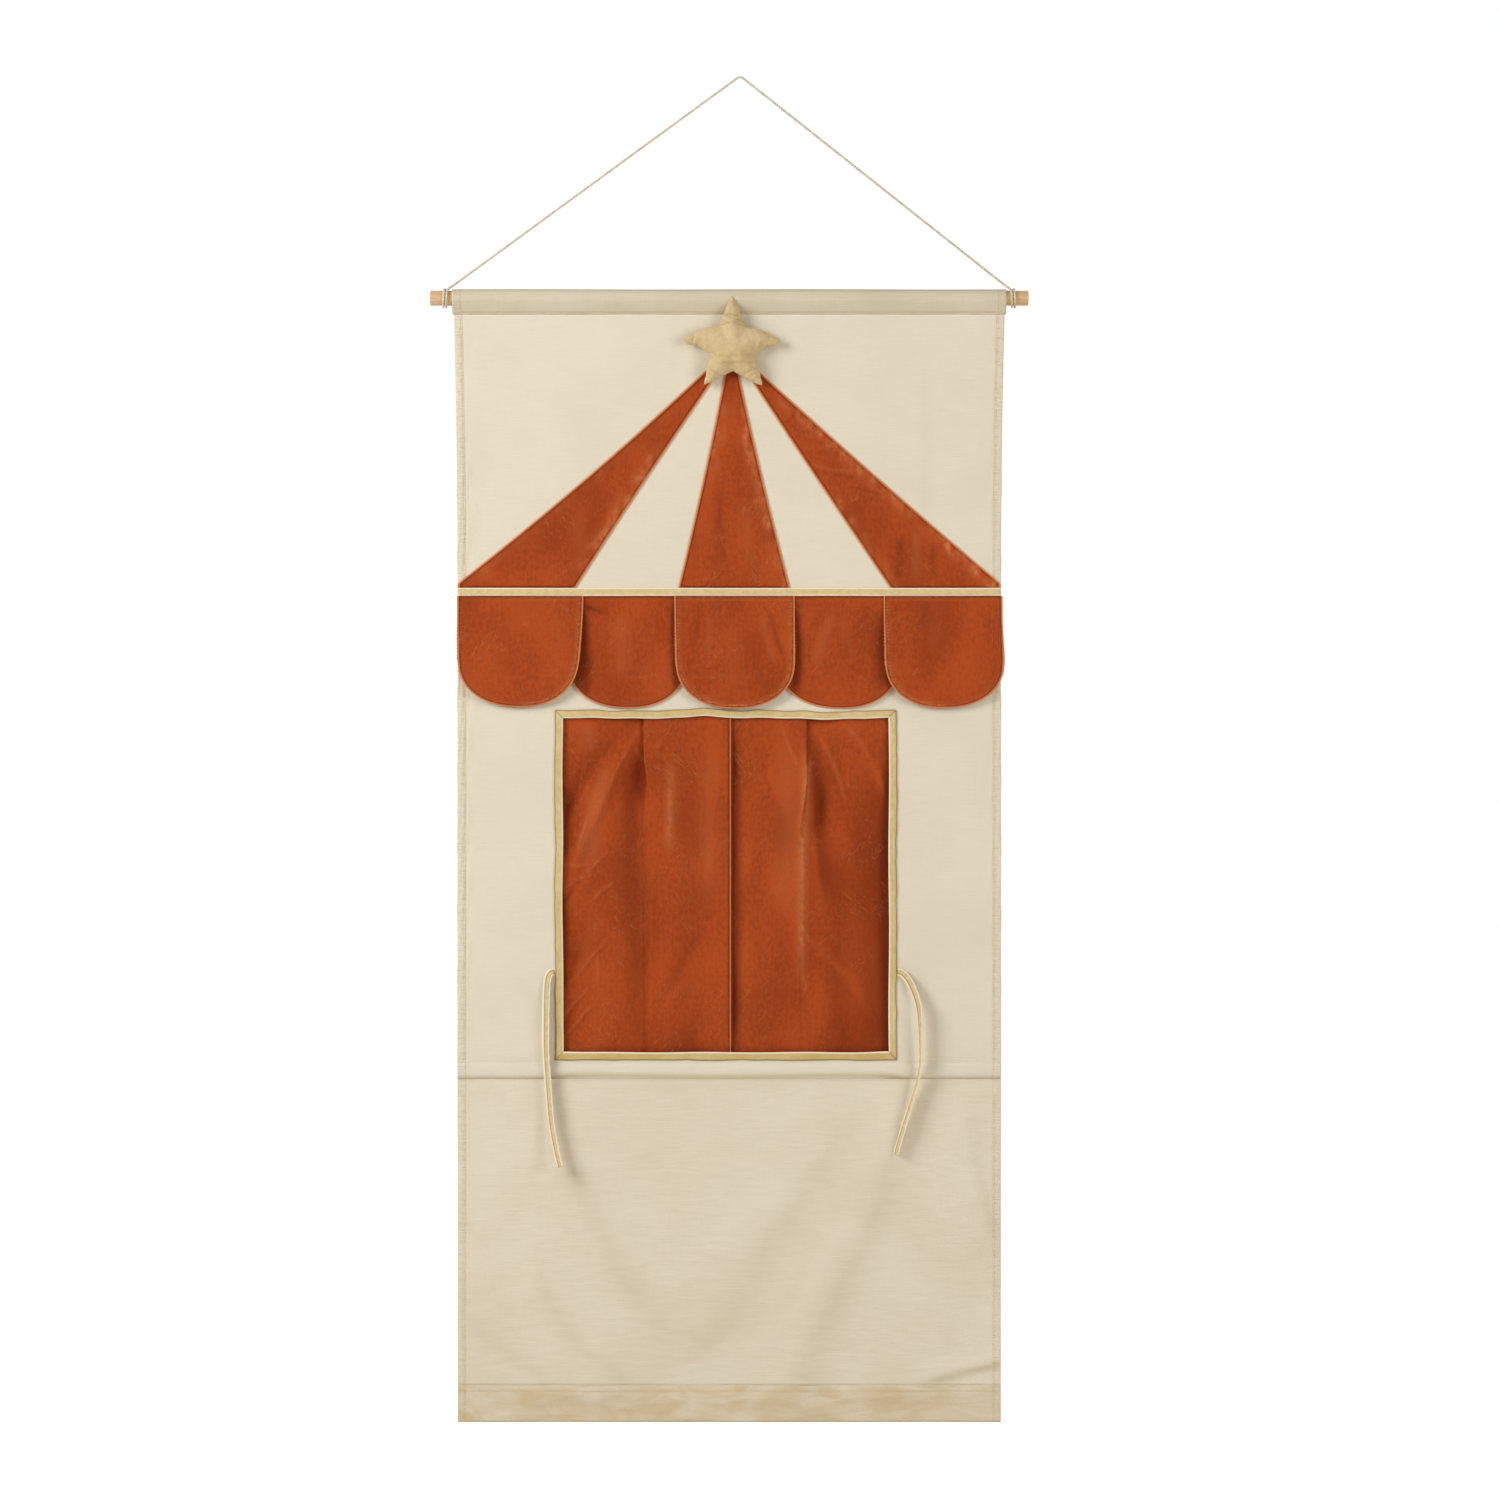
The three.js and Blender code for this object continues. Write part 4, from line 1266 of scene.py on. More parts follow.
@dataclass
class Hanger(SubAssembly):
    """The dowel, and the twisted cord that hangs from a nail and is wound round its two ends."""

    cord_diameter: float = 3.2
    strand_share: float = 0.53
    strand_offset_share: float = 0.47
    lay_length: float = 10.5
    dowel_diameter: float = 20.0
    dowel_length: float = 800.0
    gap: float = 0.3
    wrap_inset: float = 18.5
    wrap_pitch: float = 3.9
    tail_length: float = 8.4
    knot_length: float = 8.4
    knot_scale: float = 0.86
    route: tuple[tuple[float, float, float], ...] = (
        (-0.3782, 0.0, -0.2729),
        (-0.3713, 0.0, -0.2679),
        (-0.3325, 0.0, -0.2396),
        (-0.2599, 0.0, -0.1865),
        (-0.1791, 0.0, -0.1275),
        (-0.0984, 0.0, -0.0686),
        (-0.0338, 0.0, -0.0214),
        (-0.0154, 0.0, -0.008),
        (-0.0074, 0.0, -0.0021),
        (-0.0041, 0.0, 0.0003),
        (-0.0022, 0.0, 0.0013),
        (0.0, 0.0, 0.0016),
        (0.0022, 0.0, 0.0013),
        (0.0043, 0.0, 0.0001),
        (0.0075, 0.0, -0.0024),
        (0.0153, 0.0, -0.0086),
        (0.0777, 0.0, -0.0579),
        (0.1561, 0.0, -0.1199),
        (0.2345, 0.0, -0.182),
        (0.3051, 0.0, -0.2378),
        (0.3428, 0.0, -0.2676),
        (0.3495, 0.0, -0.2728),
    )

    def build(self) -> None:
        """Dresses the dowel and makes the cord, its windings and the knot at each end."""
        dowel = bpy.data.objects["dowel"]
        dowel.data.materials.clear()
        dowel.data.materials.append(self.finishes.wood)
        path = routed([Vector(point) for point in self.route], 6)
        cord = self._rope("hanging_cord_twisted", "hanging_cord", path)
        on_cord = [piece for side in Side for piece in self._winding(side)]
        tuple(self.route[0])

    def _rope(
        self, name: str, replaced: str, path: Sequence[Vector], scale: float = 1.0
    ) -> bpy.types.Object:
        """Three strands laid round a path.

        Args:
            name: The piece's name.
            replaced: The solid that it stands in for.
            path: Points of the rope's centreline, in metres.
            scale: Its thickness as a share of the cord's.

        Returns:
            The rope as one mesh.
        """
        line, total = polyline(path)
        radius = self.cord_diameter / 2 * scale
        strand = radius * self.strand_share * MM
        offset = radius * self.strand_offset_share * MM
        count = max(12, int(total / self.lay_length * 10))
        centres = [line(total * i / count) for i in range(count + 1)]
        across = None
        frames = []
        for i, centre in enumerate(centres):
            along = (centres[min(i + 1, count)] - centres[max(i - 1, 0)]).normalized()
            if across is None:
                across = Vector((0, 1, 0)).cross(along)
                if across.length < 0.1:
                    across = Vector((1, 0, 0)).cross(along)
            across = (across - along * across.dot(along)).normalized()
            frames.append((centre, across.copy(), along.cross(across)))
        curve = bpy.data.curves.new(name, "CURVE")
        curve.dimensions = "3D"
        curve.bevel_depth = strand
        curve.bevel_resolution = 2
        curve.use_fill_caps = True
        for lay in range(3):
            spline = curve.splines.new("POLY")
            spline.points.add(count)
            for i, (centre, right, up) in enumerate(frames):
                turn = 2 * math.pi * (lay / 3 + total * i / count / self.lay_length)
                spot = centre + (right * math.cos(turn) + up * math.sin(turn)) * offset
                spline.points[i].co = (*spot, 1)
        shell = bpy.data.objects.new(name + "_curve", curve)
        mesh_data = bpy.data.meshes.new_from_object(shell)
        bpy.data.objects.remove(shell)
        bpy.data.curves.remove(curve)
        rope = finish_object(mesh_data, name, self.finishes.cord)
        return settle(rope, "hanger", "cotton_cord", replaced)

    def _wrap_path(self, side: Side) -> tuple[list[Vector], Vector]:
        """Centreline of a winding: off the cord, over the dowel and twice round it.

        Args:
            side: The end of the dowel.

        Returns:
            The centreline in metres, and the way that its tail leaves.
        """
        points = [Vector(point) / MM for point in self.route]
        if side is Side.RIGHT:
            points.reverse()
        outward = (points[0] - points[1]).normalized()
        start = points[0] + outward * self.gap
        middle = self.banner.middle / MM
        radius = self.dowel_diameter / 2 + self.gap + self.cord_diameter / 2

        def on_turn(degrees: float) -> Vector:
            """A point of the turns round the dowel, by its angle from the top, in millimetres."""
            turn = math.radians(degrees)
            x = self.dowel_length / 2 - self.wrap_inset
            x += self.wrap_pitch * (degrees - 450) / 360
            spot = Vector((side.value * x, -radius * math.sin(turn), radius * math.cos(turn)))
            return middle + spot

        first, last = 45, 585
        lead = start + outward * self.cord_diameter
        landing = (on_turn(first + 1) - on_turn(first)).normalized()
        reach = (lead - on_turn(first)).length / 3
        bend = geometry.interpolate_bezier(
            lead, lead + outward * reach, on_turn(first) - landing * reach, on_turn(first), 9
        )
        path = [start, *bend]
        path.extend(on_turn(degrees) for degrees in steps(first, last, 54)[1:])
        tail = (on_turn(last) - on_turn(last - 1)).normalized()
        path.append(path[-1] + tail * self.tail_length)
        return [point * MM for point in path], tail

    def _winding(self, side: Side) -> list[bpy.types.Object]:
        """Makes one end's winding and the knot behind the dowel that stops it.

        Args:
            side: The end of the dowel.

        Returns:
            The winding and the knot.
        """
        path, tail = self._wrap_path(side)
        word = side.name.lower()
        wrap = self._rope(f"cord_winding_{word}", f"cord_wrap_{word}", path)
        start = path[-1] / MM + tail * (self.gap + self.knot_length / 2)
        turn = Vector((0, 0, 1)).rotation_difference(tail)
        loop = []
        for i in range(97):
            angle = 2 * math.pi * i / 96
            reach = 1.75 + 0.95 * math.cos(3 * angle)
            spot = Vector(
                (
                    reach * math.cos(2 * angle),
                    reach * math.sin(2 * angle),
                    (self.knot_length / 2 - 1.4) * math.sin(3 * angle),
                )
            )
            loop.append((start + turn @ spot) * MM)
        return [wrap, self._rope(f"cord_knot_{word}", f"knot_{word}", loop, self.knot_scale)]


@dataclass
class RodSleeve(SubAssembly):
    """The canvas tunnel that the dowel runs through, sewn shut below it."""

    width: float = 741.0
    rod_clearance: float = 10.45
    cloth: float = 1.1
    seam_drop: float = 21.8
    seam_stitch_drop: float = 19.4

    def _section(self) -> list[tuple[float, float]]:
        """The outer face from the front seam, up over the dowel and down behind it."""
        radius = self.rod_clearance + self.cloth
        half = self.cloth + 0.05
        front = [(-half, self.seam_drop), (-half - 0.3, self.seam_drop - 2.4)]
        lean = math.radians(62)
        arc = [
            (-radius * math.cos(turn), -radius * math.sin(turn))
            for turn in steps(-math.pi / 2 + lean, math.pi * 1.5 - lean, 26)
        ]
        back = [(half + 0.3, self.seam_drop - 2.4), (half, self.seam_drop)]
        seam, low = Vector(front[1]), Vector(arc[0])
        blend = [tuple(seam.lerp(low, share)) for share in (0.25, 0.5, 0.75)]
        mirrored = [(-y, drop) for y, drop in reversed(blend)]
        return [*front, *blend, *arc, *mirrored, *back]

    def build(self) -> None:
        """Makes the tunnel and the stitches of its seam."""
        section = self._section()
        reach = reaches_along(section)

        def place(u: float, v: float) -> Vector:
            """The point of the frame for a place on the cloth."""
            y, drop = section[round(v)]
            free = bell(drop, 12, 9) * (1 if y < 0 else 0.6)
            slack = math.sin(u / 17 + 0.6 * math.sin(u / 41)) + math.sin(u / 47 + 1)
            out = free * (0.35 + 0.28 * slack)
            top = 0.25 * (1 + math.sin(u / 61)) * bell(drop, -11, 6)
            way = -1 if y < 0 else 1
            return self.banner.middle + Vector((u, y + way * out, -(drop - top))) * MM

        def measure(u: float, v: float) -> Vector:
            """A place's measure along the threads."""
            return Vector((u * MM, -reach[round(v)] * MM, 0))

        def tone(u: float, v: float) -> float:
            """How much painted shade a place has, or painted light below zero."""
            drop = section[round(v)][1]
            # A line of painted shade above the seam, a painted highlight along it, faint painted
            # shade on the lower band, and a line of painted shade along the top.
            seam = 0.55 * bell(drop, 19.3, 1.4) - 0.9 * bell(drop, self.seam_drop, 1.4)
            return seam + 0.1 * bell(drop, 13, 5) + 0.9 * bell(drop, -11.6, 1.6)

        half = self.width / 2
        sleeve = cloth_grid(
            "rod_sleeve_canvas",
            places([-half, -half + 12, half - 12, half], [2, 4.5, 2]),
            numbered(section),
            place,
            self.finishes.sleeve_canvas,
            edge_at=lambda u, v: min(half - abs(u), 8 + 2 * min(v, len(section) - 1 - v)),
            measure=measure,
            shade_and_tone_at=tone,
            flip=True,
        )
        solidify(sleeve, self.cloth)
        settle(sleeve, "banner", "sleeve_canvas", "rod_sleeve")
        runs = []
        for way in (-1, 1):

            def line(distance: float, way: float = way) -> Vector:
                """The seam's point at a distance along it."""
                spot = Vector((distance - half + 3, way * 1.75, -self.seam_stitch_drop))
                return self.banner.middle + spot * MM

            runs.append(stitches_along(line, self.width - 6))
        seam = sew("rod_sleeve_stitches", runs, self.finishes.pale_thread)
        settle(seam, "banner", "sleeve_canvas")


@dataclass
class FrontPanel(SubAssembly):
    """The canvas panel between the sleeve and the sill, with hemmed sides and the stage window."""

    raw_edge_inset: float = 1.5
    # Marks of painted shade: soft darker bands, and beside the star its painted shadow; below zero,
    # painted light.
    shade_and_tone_marks: tuple[Crease, ...] = (
        Crease(((258, 40), (262, 200), (256, 420)), 14, 0.16),
        Crease(((-300, 880), (-262, 940), (-250, 1100)), 10, 0.16),
        Crease(((-300, 60), (-240, 180), (-280, 330)), 50, -0.2),
        Crease(((330, 560), (338, 760), (330, 1000)), 18, 0.1),
        Crease(((-71, 36), (-70, 70), (-72, 106)), 7, 0.14),
        Crease(((-39, 46), (-41, 80), (-44, 116)), 8, 0.3),
        Crease(((54, 44), (57, 80), (60, 118)), 10, 0.2),
    )

    def build(self) -> None:
        """Makes the panel and the stitches of its side hems."""
        banner = self.banner
        half = banner.width / 2
        left = banner.window_middle - banner.window_width / 2 - self.raw_edge_inset
        right = banner.window_middle + banner.window_width / 2 + self.raw_edge_inset
        top = banner.window_top_drop - self.raw_edge_inset
        bottom = banner.window_top_drop + banner.window_height + self.raw_edge_inset
        hem = banner.hem_place
        start = banner.sleeve_seam_drop + banner.gap
        end = banner.casing_top_drop - banner.gap

        def place(u: float, v: float) -> Vector:
            """The point of the frame for a place on the cloth."""
            x = u * banner.half_width(v) / half
            pucker = 0.32 * banner.hem_pucker(u, v) * smooth_step(start, start + 30, v)
            y = banner.face_of_layer(0) + banner.hem_relief(u) + pucker
            return banner.at_window(x, y, v)

        panel = cloth_grid(
            "front_panel_canvas",
            places(
                [-half, -hem, -hem + 6, left, right, hem - 6, hem, half], [1.8, 2, 9, 10, 9, 2, 1.8]
            ),
            places([start, start + 0.15, top, bottom, end - 0.15, end], [0.2, 2.9, 2.9, 2.9, 0.2]),
            place,
            self.finishes.canvas,
            edge_at=lambda u, v: half - abs(u),
            keep=lambda u, v: not (left < u < right and top < v < bottom),
            hem_at=lambda u, v: 0.3 if abs(u) >= hem - 0.01 else 0,
            # Painted shade and light from the marks, and a painted highlight just below the
            # sleeve's seam.
            shade_and_tone_at=lambda u, v: marked(self.shade_and_tone_marks, u, v) - 0.5 * bell(v, start, 2.5),
        )
        solidify(panel, banner.thickness, hems=True)
        settle(panel, "banner", "canvas", "front_panel")
        runs = []
        for side in Side:

            def line(distance: float, way: int = side.value) -> Vector:
                """The seam's point at a distance along it."""
                drop = start + 2 + distance
                inset = banner.half_width(drop) - banner.hem_width + 2.2
                return banner.at(way * inset, banner.face_of_layer(0) - 0.1, drop)

            runs.append(stitches_along(line, end - start - 4))
        stitches = sew("side_hem_stitches", runs, self.finishes.pale_thread)
        settle(stitches, "banner", "canvas")


@dataclass(frozen=True)
class LongEdge:
    """A long edge of a roof stripe: where it starts, how it slopes and bows, how it is rubbed.

    The place across the banner is start + slope * rise + bow * rise², where rise goes from 0 at
    the apex to 1 at the eaves.
    """

    start: float
    slope: float
    bow: float
    rub: float = 0.0
    rub_from: float = 0.0
    rub_to: float = 1.2

    def across(self, rise: float, limit: float) -> float:
        """Where the edge lies across the banner."""
        place = self.start + self.slope * rise + self.bow * rise * rise
        return min(max(place, -limit), limit)

    def wear(self, away: float, rise: float) -> float:
        """How far the pile beside the edge is rubbed.

        Args:
            away: How far a place is from the edge.
            rise: Its share of the way down the roof.

        Returns:
            A share from 0 to 1.
        """
        here = smooth_step(self.rub_from, self.rub_from + 0.15, rise)
        here *= 1 - smooth_step(self.rub_to - 0.15, self.rub_to, rise)
        return self.rub * here * bell(away, 7, 8)


@dataclass(frozen=True)
class Ray:
    """One stripe of the tent roof."""

    name: str
    left: LongEdge
    right: LongEdge
    # Marks of painted shade in the stripe's folds, and of painted light below zero.
    shade_and_tone_marks: tuple[Crease, ...] = ()


@dataclass
class TentRoof(SubAssembly):
    """Three velvet stripes that spread from the star to the eaves, and the tape that ends them."""

    apex_drop: float = 69.0
    eaves_drop: float = 387.5
    tape_height: float = 10.7
    top_share: float = 0.06
    seam_inset: float = 2.9
    rays: tuple[Ray, ...] = (
        Ray(
            "left",
            LongEdge(-2.6, -327.5, -40.5, 0.15, 0.2),
            LongEdge(6.6, -221.1, 8.9, 0.75, 0.36, 0.98),
            (
                Crease(((-60, 140), (-130, 200), (-250, 320)), 9, 0.25),
                Crease(((-190, 250), (-205, 300), (-190, 380)), 14, -0.25),
                Crease(((-330, 372), (-250, 345), (-230, 300)), 16, 0.2),
            ),
        ),
        Ray(
            "centre",
            LongEdge(0.4, -59.2, -9.1, 0.5, 0.18, 0.6),
            LongEdge(6, 66.2, 9.1, 0.55, 0.16),
            (
                Crease(((-12, 235), (-14, 300), (-10, 372)), 9, 0.42),
                Crease(((18, 250), (24, 320), (30, 380)), 9, -0.25),
                Crease(((-48, 300), (-46, 340), (-52, 392)), 7, 0.22),
            ),
        ),
        Ray(
            "right",
            LongEdge(2.9, 208, 4.4, 0.25, 0.5),
            LongEdge(8.2, 343.8, 17.7, 0.6, 0.16),
            (
                Crease(((98, 228), (140, 236), (182, 240)), 3, 0.45, right_width=2),
                Crease(((100, 222), (140, 230), (180, 233)), 3, -0.35),
                Crease(((156, 250), (185, 258), (212, 266)), 3, 0.4, right_width=2),
                Crease(((230, 312), (228, 350), (226, 384)), 8, 0.5),
                Crease(((274, 318), (272, 350), (274, 384)), 7, 0.45),
                Crease(((250, 300), (250, 350), (250, 386)), 8, -0.35),
                Crease(((150, 262), (190, 330), (204, 372)), 8, 0.2),
            ),
        ),
    )

    def _stripe(self, ray: Ray) -> None:
        """Makes one stripe with its seams.

        Args:
            ray: The stripe.
        """
        banner = self.banner
        height = self.eaves_drop - self.apex_drop
        limit = banner.width / 2
        lefts = math.hypot(1, (ray.left.slope + ray.left.bow) / height)
        rights = math.hypot(1, (ray.right.slope + ray.right.bow) / height)

        def across(u: float, rise: float) -> float:
            """Where a share of the stripe's width lies across the banner."""
            left, right = ray.left.across(rise, limit), ray.right.across(rise, limit)
            return left + (right - left) * u

        def edge(u: float, rise: float) -> float:
            """How far a place is from the cut edge."""
            wide = across(1, rise) - across(0, rise)
            sides = min(u * wide / lefts, (1 - u) * wide / rights)
            return min(sides, (1 - rise) * height + 1.5)

        def place(u: float, rise: float) -> Vector:
            """The point of the frame for a place on the cloth."""
            away = edge(u, rise)
            along = rise * height
            ridge = 0.26 * bell(away, 3.4, 2.6) * smooth_step(0.18, 0.3, rise)
            pucker = 0.16 * math.sin(along / 2.4 + 3 * u) * bell(away, 3, 3)
            dent = 0.2 * bell(away, 0, 1)
            y = banner.face_of_layer(1) - ridge + pucker * smooth_step(0.18, 0.3, rise) + dent
            return banner.at(across(u, rise), y, self.apex_drop + along)

        def measure(u: float, rise: float) -> Vector:
            """A place's measure along the threads."""
            return Vector((across(u, rise) * MM, -(self.apex_drop + rise * height) * MM, 0))

        def worn(u: float, rise: float) -> float:
            """How far the pile is worn pale at a place."""
            wide = across(1, rise) - across(0, rise)
            wear = ray.left.wear(u * wide / lefts, rise)
            wear += ray.right.wear((1 - u) * wide / rights, rise)
            uneven = noise.noise(Vector((across(u, rise) / 9, rise * height / 22, 5)))
            return wear * max(0.5 + 1.3 * uneven, 0)

        def tone(u: float, rise: float) -> float:
            """How much painted shade a place has, or painted light below zero."""
            # Painted shadow along the stripe's foot, above the tape, and the stripe's marks of
            # painted shade and light.
            seam = 0.7 * bell(rise * height, height, 2.2)
            return seam + marked(ray.shade_and_tone_marks, across(u, rise), self.apex_drop + rise * height)

        columns = [(1 - math.cos(math.pi * i / 34)) / 2 for i in range(35)]
        stripe = cloth_grid(
            f"roof_stripe_{ray.name}_velvet",
            columns,
            steps(self.top_share, 1, 130),
            place,
            self.finishes.rust_velvet,
            edge_at=edge,
            measure=measure,
            wear_and_highlight_at=worn,
            shade_and_tone_at=tone,
        )
        solidify(stripe, banner.thickness)
        settle(stripe, "banner", "rust_velvet", f"roof_stripe_{ray.name}")
        runs = []
        for way in (0, 1):
            slope = lefts if way == 0 else rights

            def seam(rise: float, way: float = way, slope: float = slope) -> Vector:
                """A point of the seam beside one long edge."""
                wide = across(1, rise) - across(0, rise)
                inset = self.seam_inset * slope / wide
                u = inset if way == 0 else 1 - inset
                y = banner.face_of_layer(1) - 0.22
                return banner.at(across(u, rise), y, self.apex_drop + rise * height)

            line, total = polyline([seam(rise) for rise in steps(0.16, 0.995, 60)])
            runs.append(stitches_along(line, total, length=2.2, gap=1))
        stitches = sew(f"roof_stripe_{ray.name}_stitches", runs, self.finishes.rust_thread)
        settle(stitches, "banner", "rust_velvet")
        top = across(1, self.top_share) - across(0, self.top_share)
        low = across(1, 1) - across(0, 1)
        sweep = abs(across(0.5, 1) - across(0.5, self.top_share)) + low / 2 + top / 2

    def _tape(self) -> None:
        """Makes the tape along the eaves."""
        banner = self.banner
        half = banner.width / 2
        top = self.eaves_drop + banner.gap
        low = top + self.tape_height

        def place(u: float, v: float) -> Vector:
            """The point of the frame for a place on the cloth."""
            away = min(v - top, low - v)
            crown = 0.3 * smooth_step(0, 1.6, away)
            pucker = 0.14 * math.sin(u / 2.3 + 1.5 * math.sin(u / 13)) * bell(away, 1.6, 1.8)
            wander = 0.14 * math.sin(u / 37 + 1)
            return banner.at(u, banner.face_of_layer(1) + 0.1 - crown + pucker, v + wander)

        tape = cloth_grid(
            "roof_binding_tape",
            steps(-half, half, 300),
            places([top, top + 1.6, low - 1.6, low], [0.4, 1.3, 0.4]),
            place,
            self.finishes.tape,
            edge_at=lambda u, v: min(v - top + 0.2, 0.9 * (low - v)),
        )
        solidify(tape, banner.thickness)
        settle(tape, "banner", "sand_tape", "roof_binding")
        runs = []
        for drop in (top + 1.7, low - 1.7):

            def line(distance: float, drop: float = drop) -> Vector:
                """The seam's point at a distance along it."""
                return banner.at(distance - half + 2, banner.face_of_layer(1) - 0.18, drop)

            runs.append(stitches_along(line, banner.width - 4, length=2.4, gap=1))
        stitches = sew("roof_binding_stitches", runs, self.finishes.pale_thread, width=0.55)
        settle(stitches, "banner", "sand_tape")

    def build(self) -> None:
        """Makes the stripes and the tape."""
        for ray in self.rays:
            self._stripe(ray)
        self._tape()


@dataclass(frozen=True)
class Flap:
    """One scallop: its middle and width as shares of the banner, its layer, and how it narrows."""

    centre_share: float
    width_share: float
    layer: int
    length: float
    left_taper: float = 0.0
    right_taper: float = 0.0
    # left_rub and right_rub pale the pile beside each side's seam: worn pile, and a painted
    # highlight.
    left_rub: float = 0.0
    right_rub: float = 0.0
    # Marks of painted shade, where a neighbouring flap throws its shadow and in the folds, and of
    # painted light below zero.
    shade_and_tone_marks: tuple[Crease, ...] = ()


@dataclass
class Valance(SubAssembly):
    """Five round velvet flaps that hang from the eaves tape; the odd ones lie in front."""

    top_drop: float = 398.5
    rounding: float = 62.0
    roundness: float = 2.25
    lobe_share: float = 0.814
    seam_inset: float = 6.4
    flare: float = 2.2
    stand: float = 5.4
    pucker_pitch: float = 4.4
    flaps: tuple[Flap, ...] = (
        Flap(
            -0.769,
            0.2325,
            2,
            148.6,
            left_taper=2,
            right_taper=9,
            left_rub=0.15,
            right_rub=0.6,
            shade_and_tone_marks=(
                Crease(((-330, 404), (-300, 450), (-296, 520)), 26, 0.22),
                Crease(((-226, 410), (-224, 460), (-236, 520)), 16, -0.16),
                Crease(((-280, 430), (-262, 470), (-258, 500)), 10, 0.14),
            ),
        ),
        Flap(
            -0.3725,
            0.2215,
            1,
            150.2,
            right_taper=2,
            shade_and_tone_marks=(
                Crease(((-198, 380), (-198, 460), (-205, 560)), 5, 1, right_width=13),
                Crease(((-190, 470), (-192, 505), (-198, 540)), 14, 0.45),
                Crease(((-77, 380), (-73, 480), (-70, 560)), 5, 0.8, right_width=9),
                Crease(((-196, 412), (-180, 416), (-164, 424)), 3.5, 0.6),
                Crease(((-168, 402), (-164, 418), (-158, 436)), 5, 0.35),
                Crease(((-150, 410), (-142, 460), (-146, 520)), 16, -0.25),
                Crease(((-112, 410), (-108, 450), (-112, 500)), 12, 0.18),
            ),
        ),
        Flap(
            0.0195,
            0.2215,
            2,
            150.6,
            left_taper=3,
            left_rub=0.6,
            right_rub=0.55,
            shade_and_tone_marks=(
                Crease(((-40, 396), (-40, 430), (-50, 480)), 8, 0.35),
                Crease(((-26, 410), (-28, 450), (-30, 490)), 8, -0.22),
                Crease(((52, 412), (62, 452), (76, 490)), 5, 0.5),
                Crease(((40, 412), (52, 460), (64, 500)), 7, -0.3),
                Crease(((30, 480), (44, 510), (62, 528)), 7, 0.35),
                Crease(((4, 420), (8, 480), (2, 540)), 18, -0.16),
            ),
        ),
        Flap(
            0.4154,
            0.2215,
            1,
            150.6,
            left_taper=-5,
            right_taper=4,
            shade_and_tone_marks=(
                Crease(((90, 380), (89, 470), (86, 560)), 4, 0.85, right_width=10),
                Crease(((211, 380), (212, 470), (219, 560)), 4, 1, right_width=5),
                Crease(((206, 400), (200, 470), (206, 540)), 15, 0.6),
                Crease(((142, 412), (126, 450), (112, 500)), 10, -0.32),
                Crease(((150, 416), (160, 460), (170, 500)), 8, -0.22),
                Crease(((128, 408), (112, 440), (104, 476)), 6, 0.3),
                Crease(((186, 404), (182, 424), (176, 440)), 6, 0.3),
            ),
        ),
        Flap(
            0.7865,
            0.2187,
            2,
            150,
            left_taper=3,
            right_taper=-3,
            left_rub=0.6,
            right_rub=0.15,
            shade_and_tone_marks=(
                Crease(((264, 396), (262, 420), (254, 446)), 6, 0.4),
                Crease(((276, 404), (278, 440), (272, 480)), 9, -0.18),
                Crease(((330, 412), (336, 460), (330, 520)), 18, 0.16),
                Crease(((240, 440), (246, 480), (262, 520)), 12, 0.14),
            ),
        ),
    )

    def _lift(self, flap: Flap, u: float, x: float, fall: float) -> float:
        """How far a flap stands forward; the sides of the front ones curl away from the others.

        Args:
            flap: The scallop.
            u: The place across it, from -1 to 1.
            x: The place across the banner.
            fall: The share of the way down the flap.

        Returns:
            The distance in millimetres.
        """
        waves = 0.62 + 0.38 * math.sin(x / 31 + 0.7)
        lift = self.flare * waves * smooth_step(0, 1, fall)
        if flap.layer > 1:
            curl = 0.45 + 0.55 * u * u
            lift += self.stand * curl * smooth_step(0.02, 0.5, fall)
        return lift

    def _scallop(self, number: int, flap: Flap) -> None:
        """Makes one flap with the stitches round it.

        Args:
            number: Its number from the left.
            flap: The scallop.
        """
        banner = self.banner
        half = banner.width * flap.width_share / 2
        centre = banner.width / 2 * flap.centre_share
        straight = flap.length - self.rounding
        power = self.roundness

        def reach(u: float) -> float:
            """How long the flap is at a place across it."""
            return straight + self.rounding * max(1 - abs(u) ** power, 0) ** (1 / power)

        def across(u: float, down: float) -> float:
            """Where a place across the flap lies across the banner."""
            taper = flap.left_taper if u < 0 else -flap.right_taper
            return centre + half * u + taper * abs(u) * smooth_step(0, flap.length, down)

        def edge(u: float, v: float) -> float:
            """How far a place is from the cut edge."""
            down = v * reach(u)
            if down < straight:
                return min(half * (1 - abs(u)), down + 2)
            out = (abs(u) ** power + ((down - straight) / self.rounding) ** power) ** (1 / power)
            return (1 - out) * (half + self.rounding) / 2

        def place(u: float, v: float) -> Vector:
            """The point of the frame for a place on the cloth."""
            down = v * reach(u)
            x = across(u, down)
            away = edge(u, v)
            turn = math.atan2(down - straight, u * half) if down > straight else 0
            along = turn * self.rounding if down > straight else down
            ridge = 0.34 * bell(away, 3.4, 2.6)
            waves = math.sin(2 * math.pi * along / self.pucker_pitch + 2 * math.sin(along / 17))
            pucker = 0.26 * waves * bell(away, 5.5, 4)
            pucker += 0.22 * math.sin(x / 2.4) * bell(down, 0, 7)
            y = banner.face_of_layer(flap.layer) - ridge + pucker
            y -= self._lift(flap, u, x, down / flap.length)
            return banner.at(x, y, self.top_drop + down)

        def measure(u: float, v: float) -> Vector:
            """A place's measure along the threads."""
            down = v * reach(u)
            return Vector((across(u, down) * MM, -(self.top_drop + down) * MM, 0))

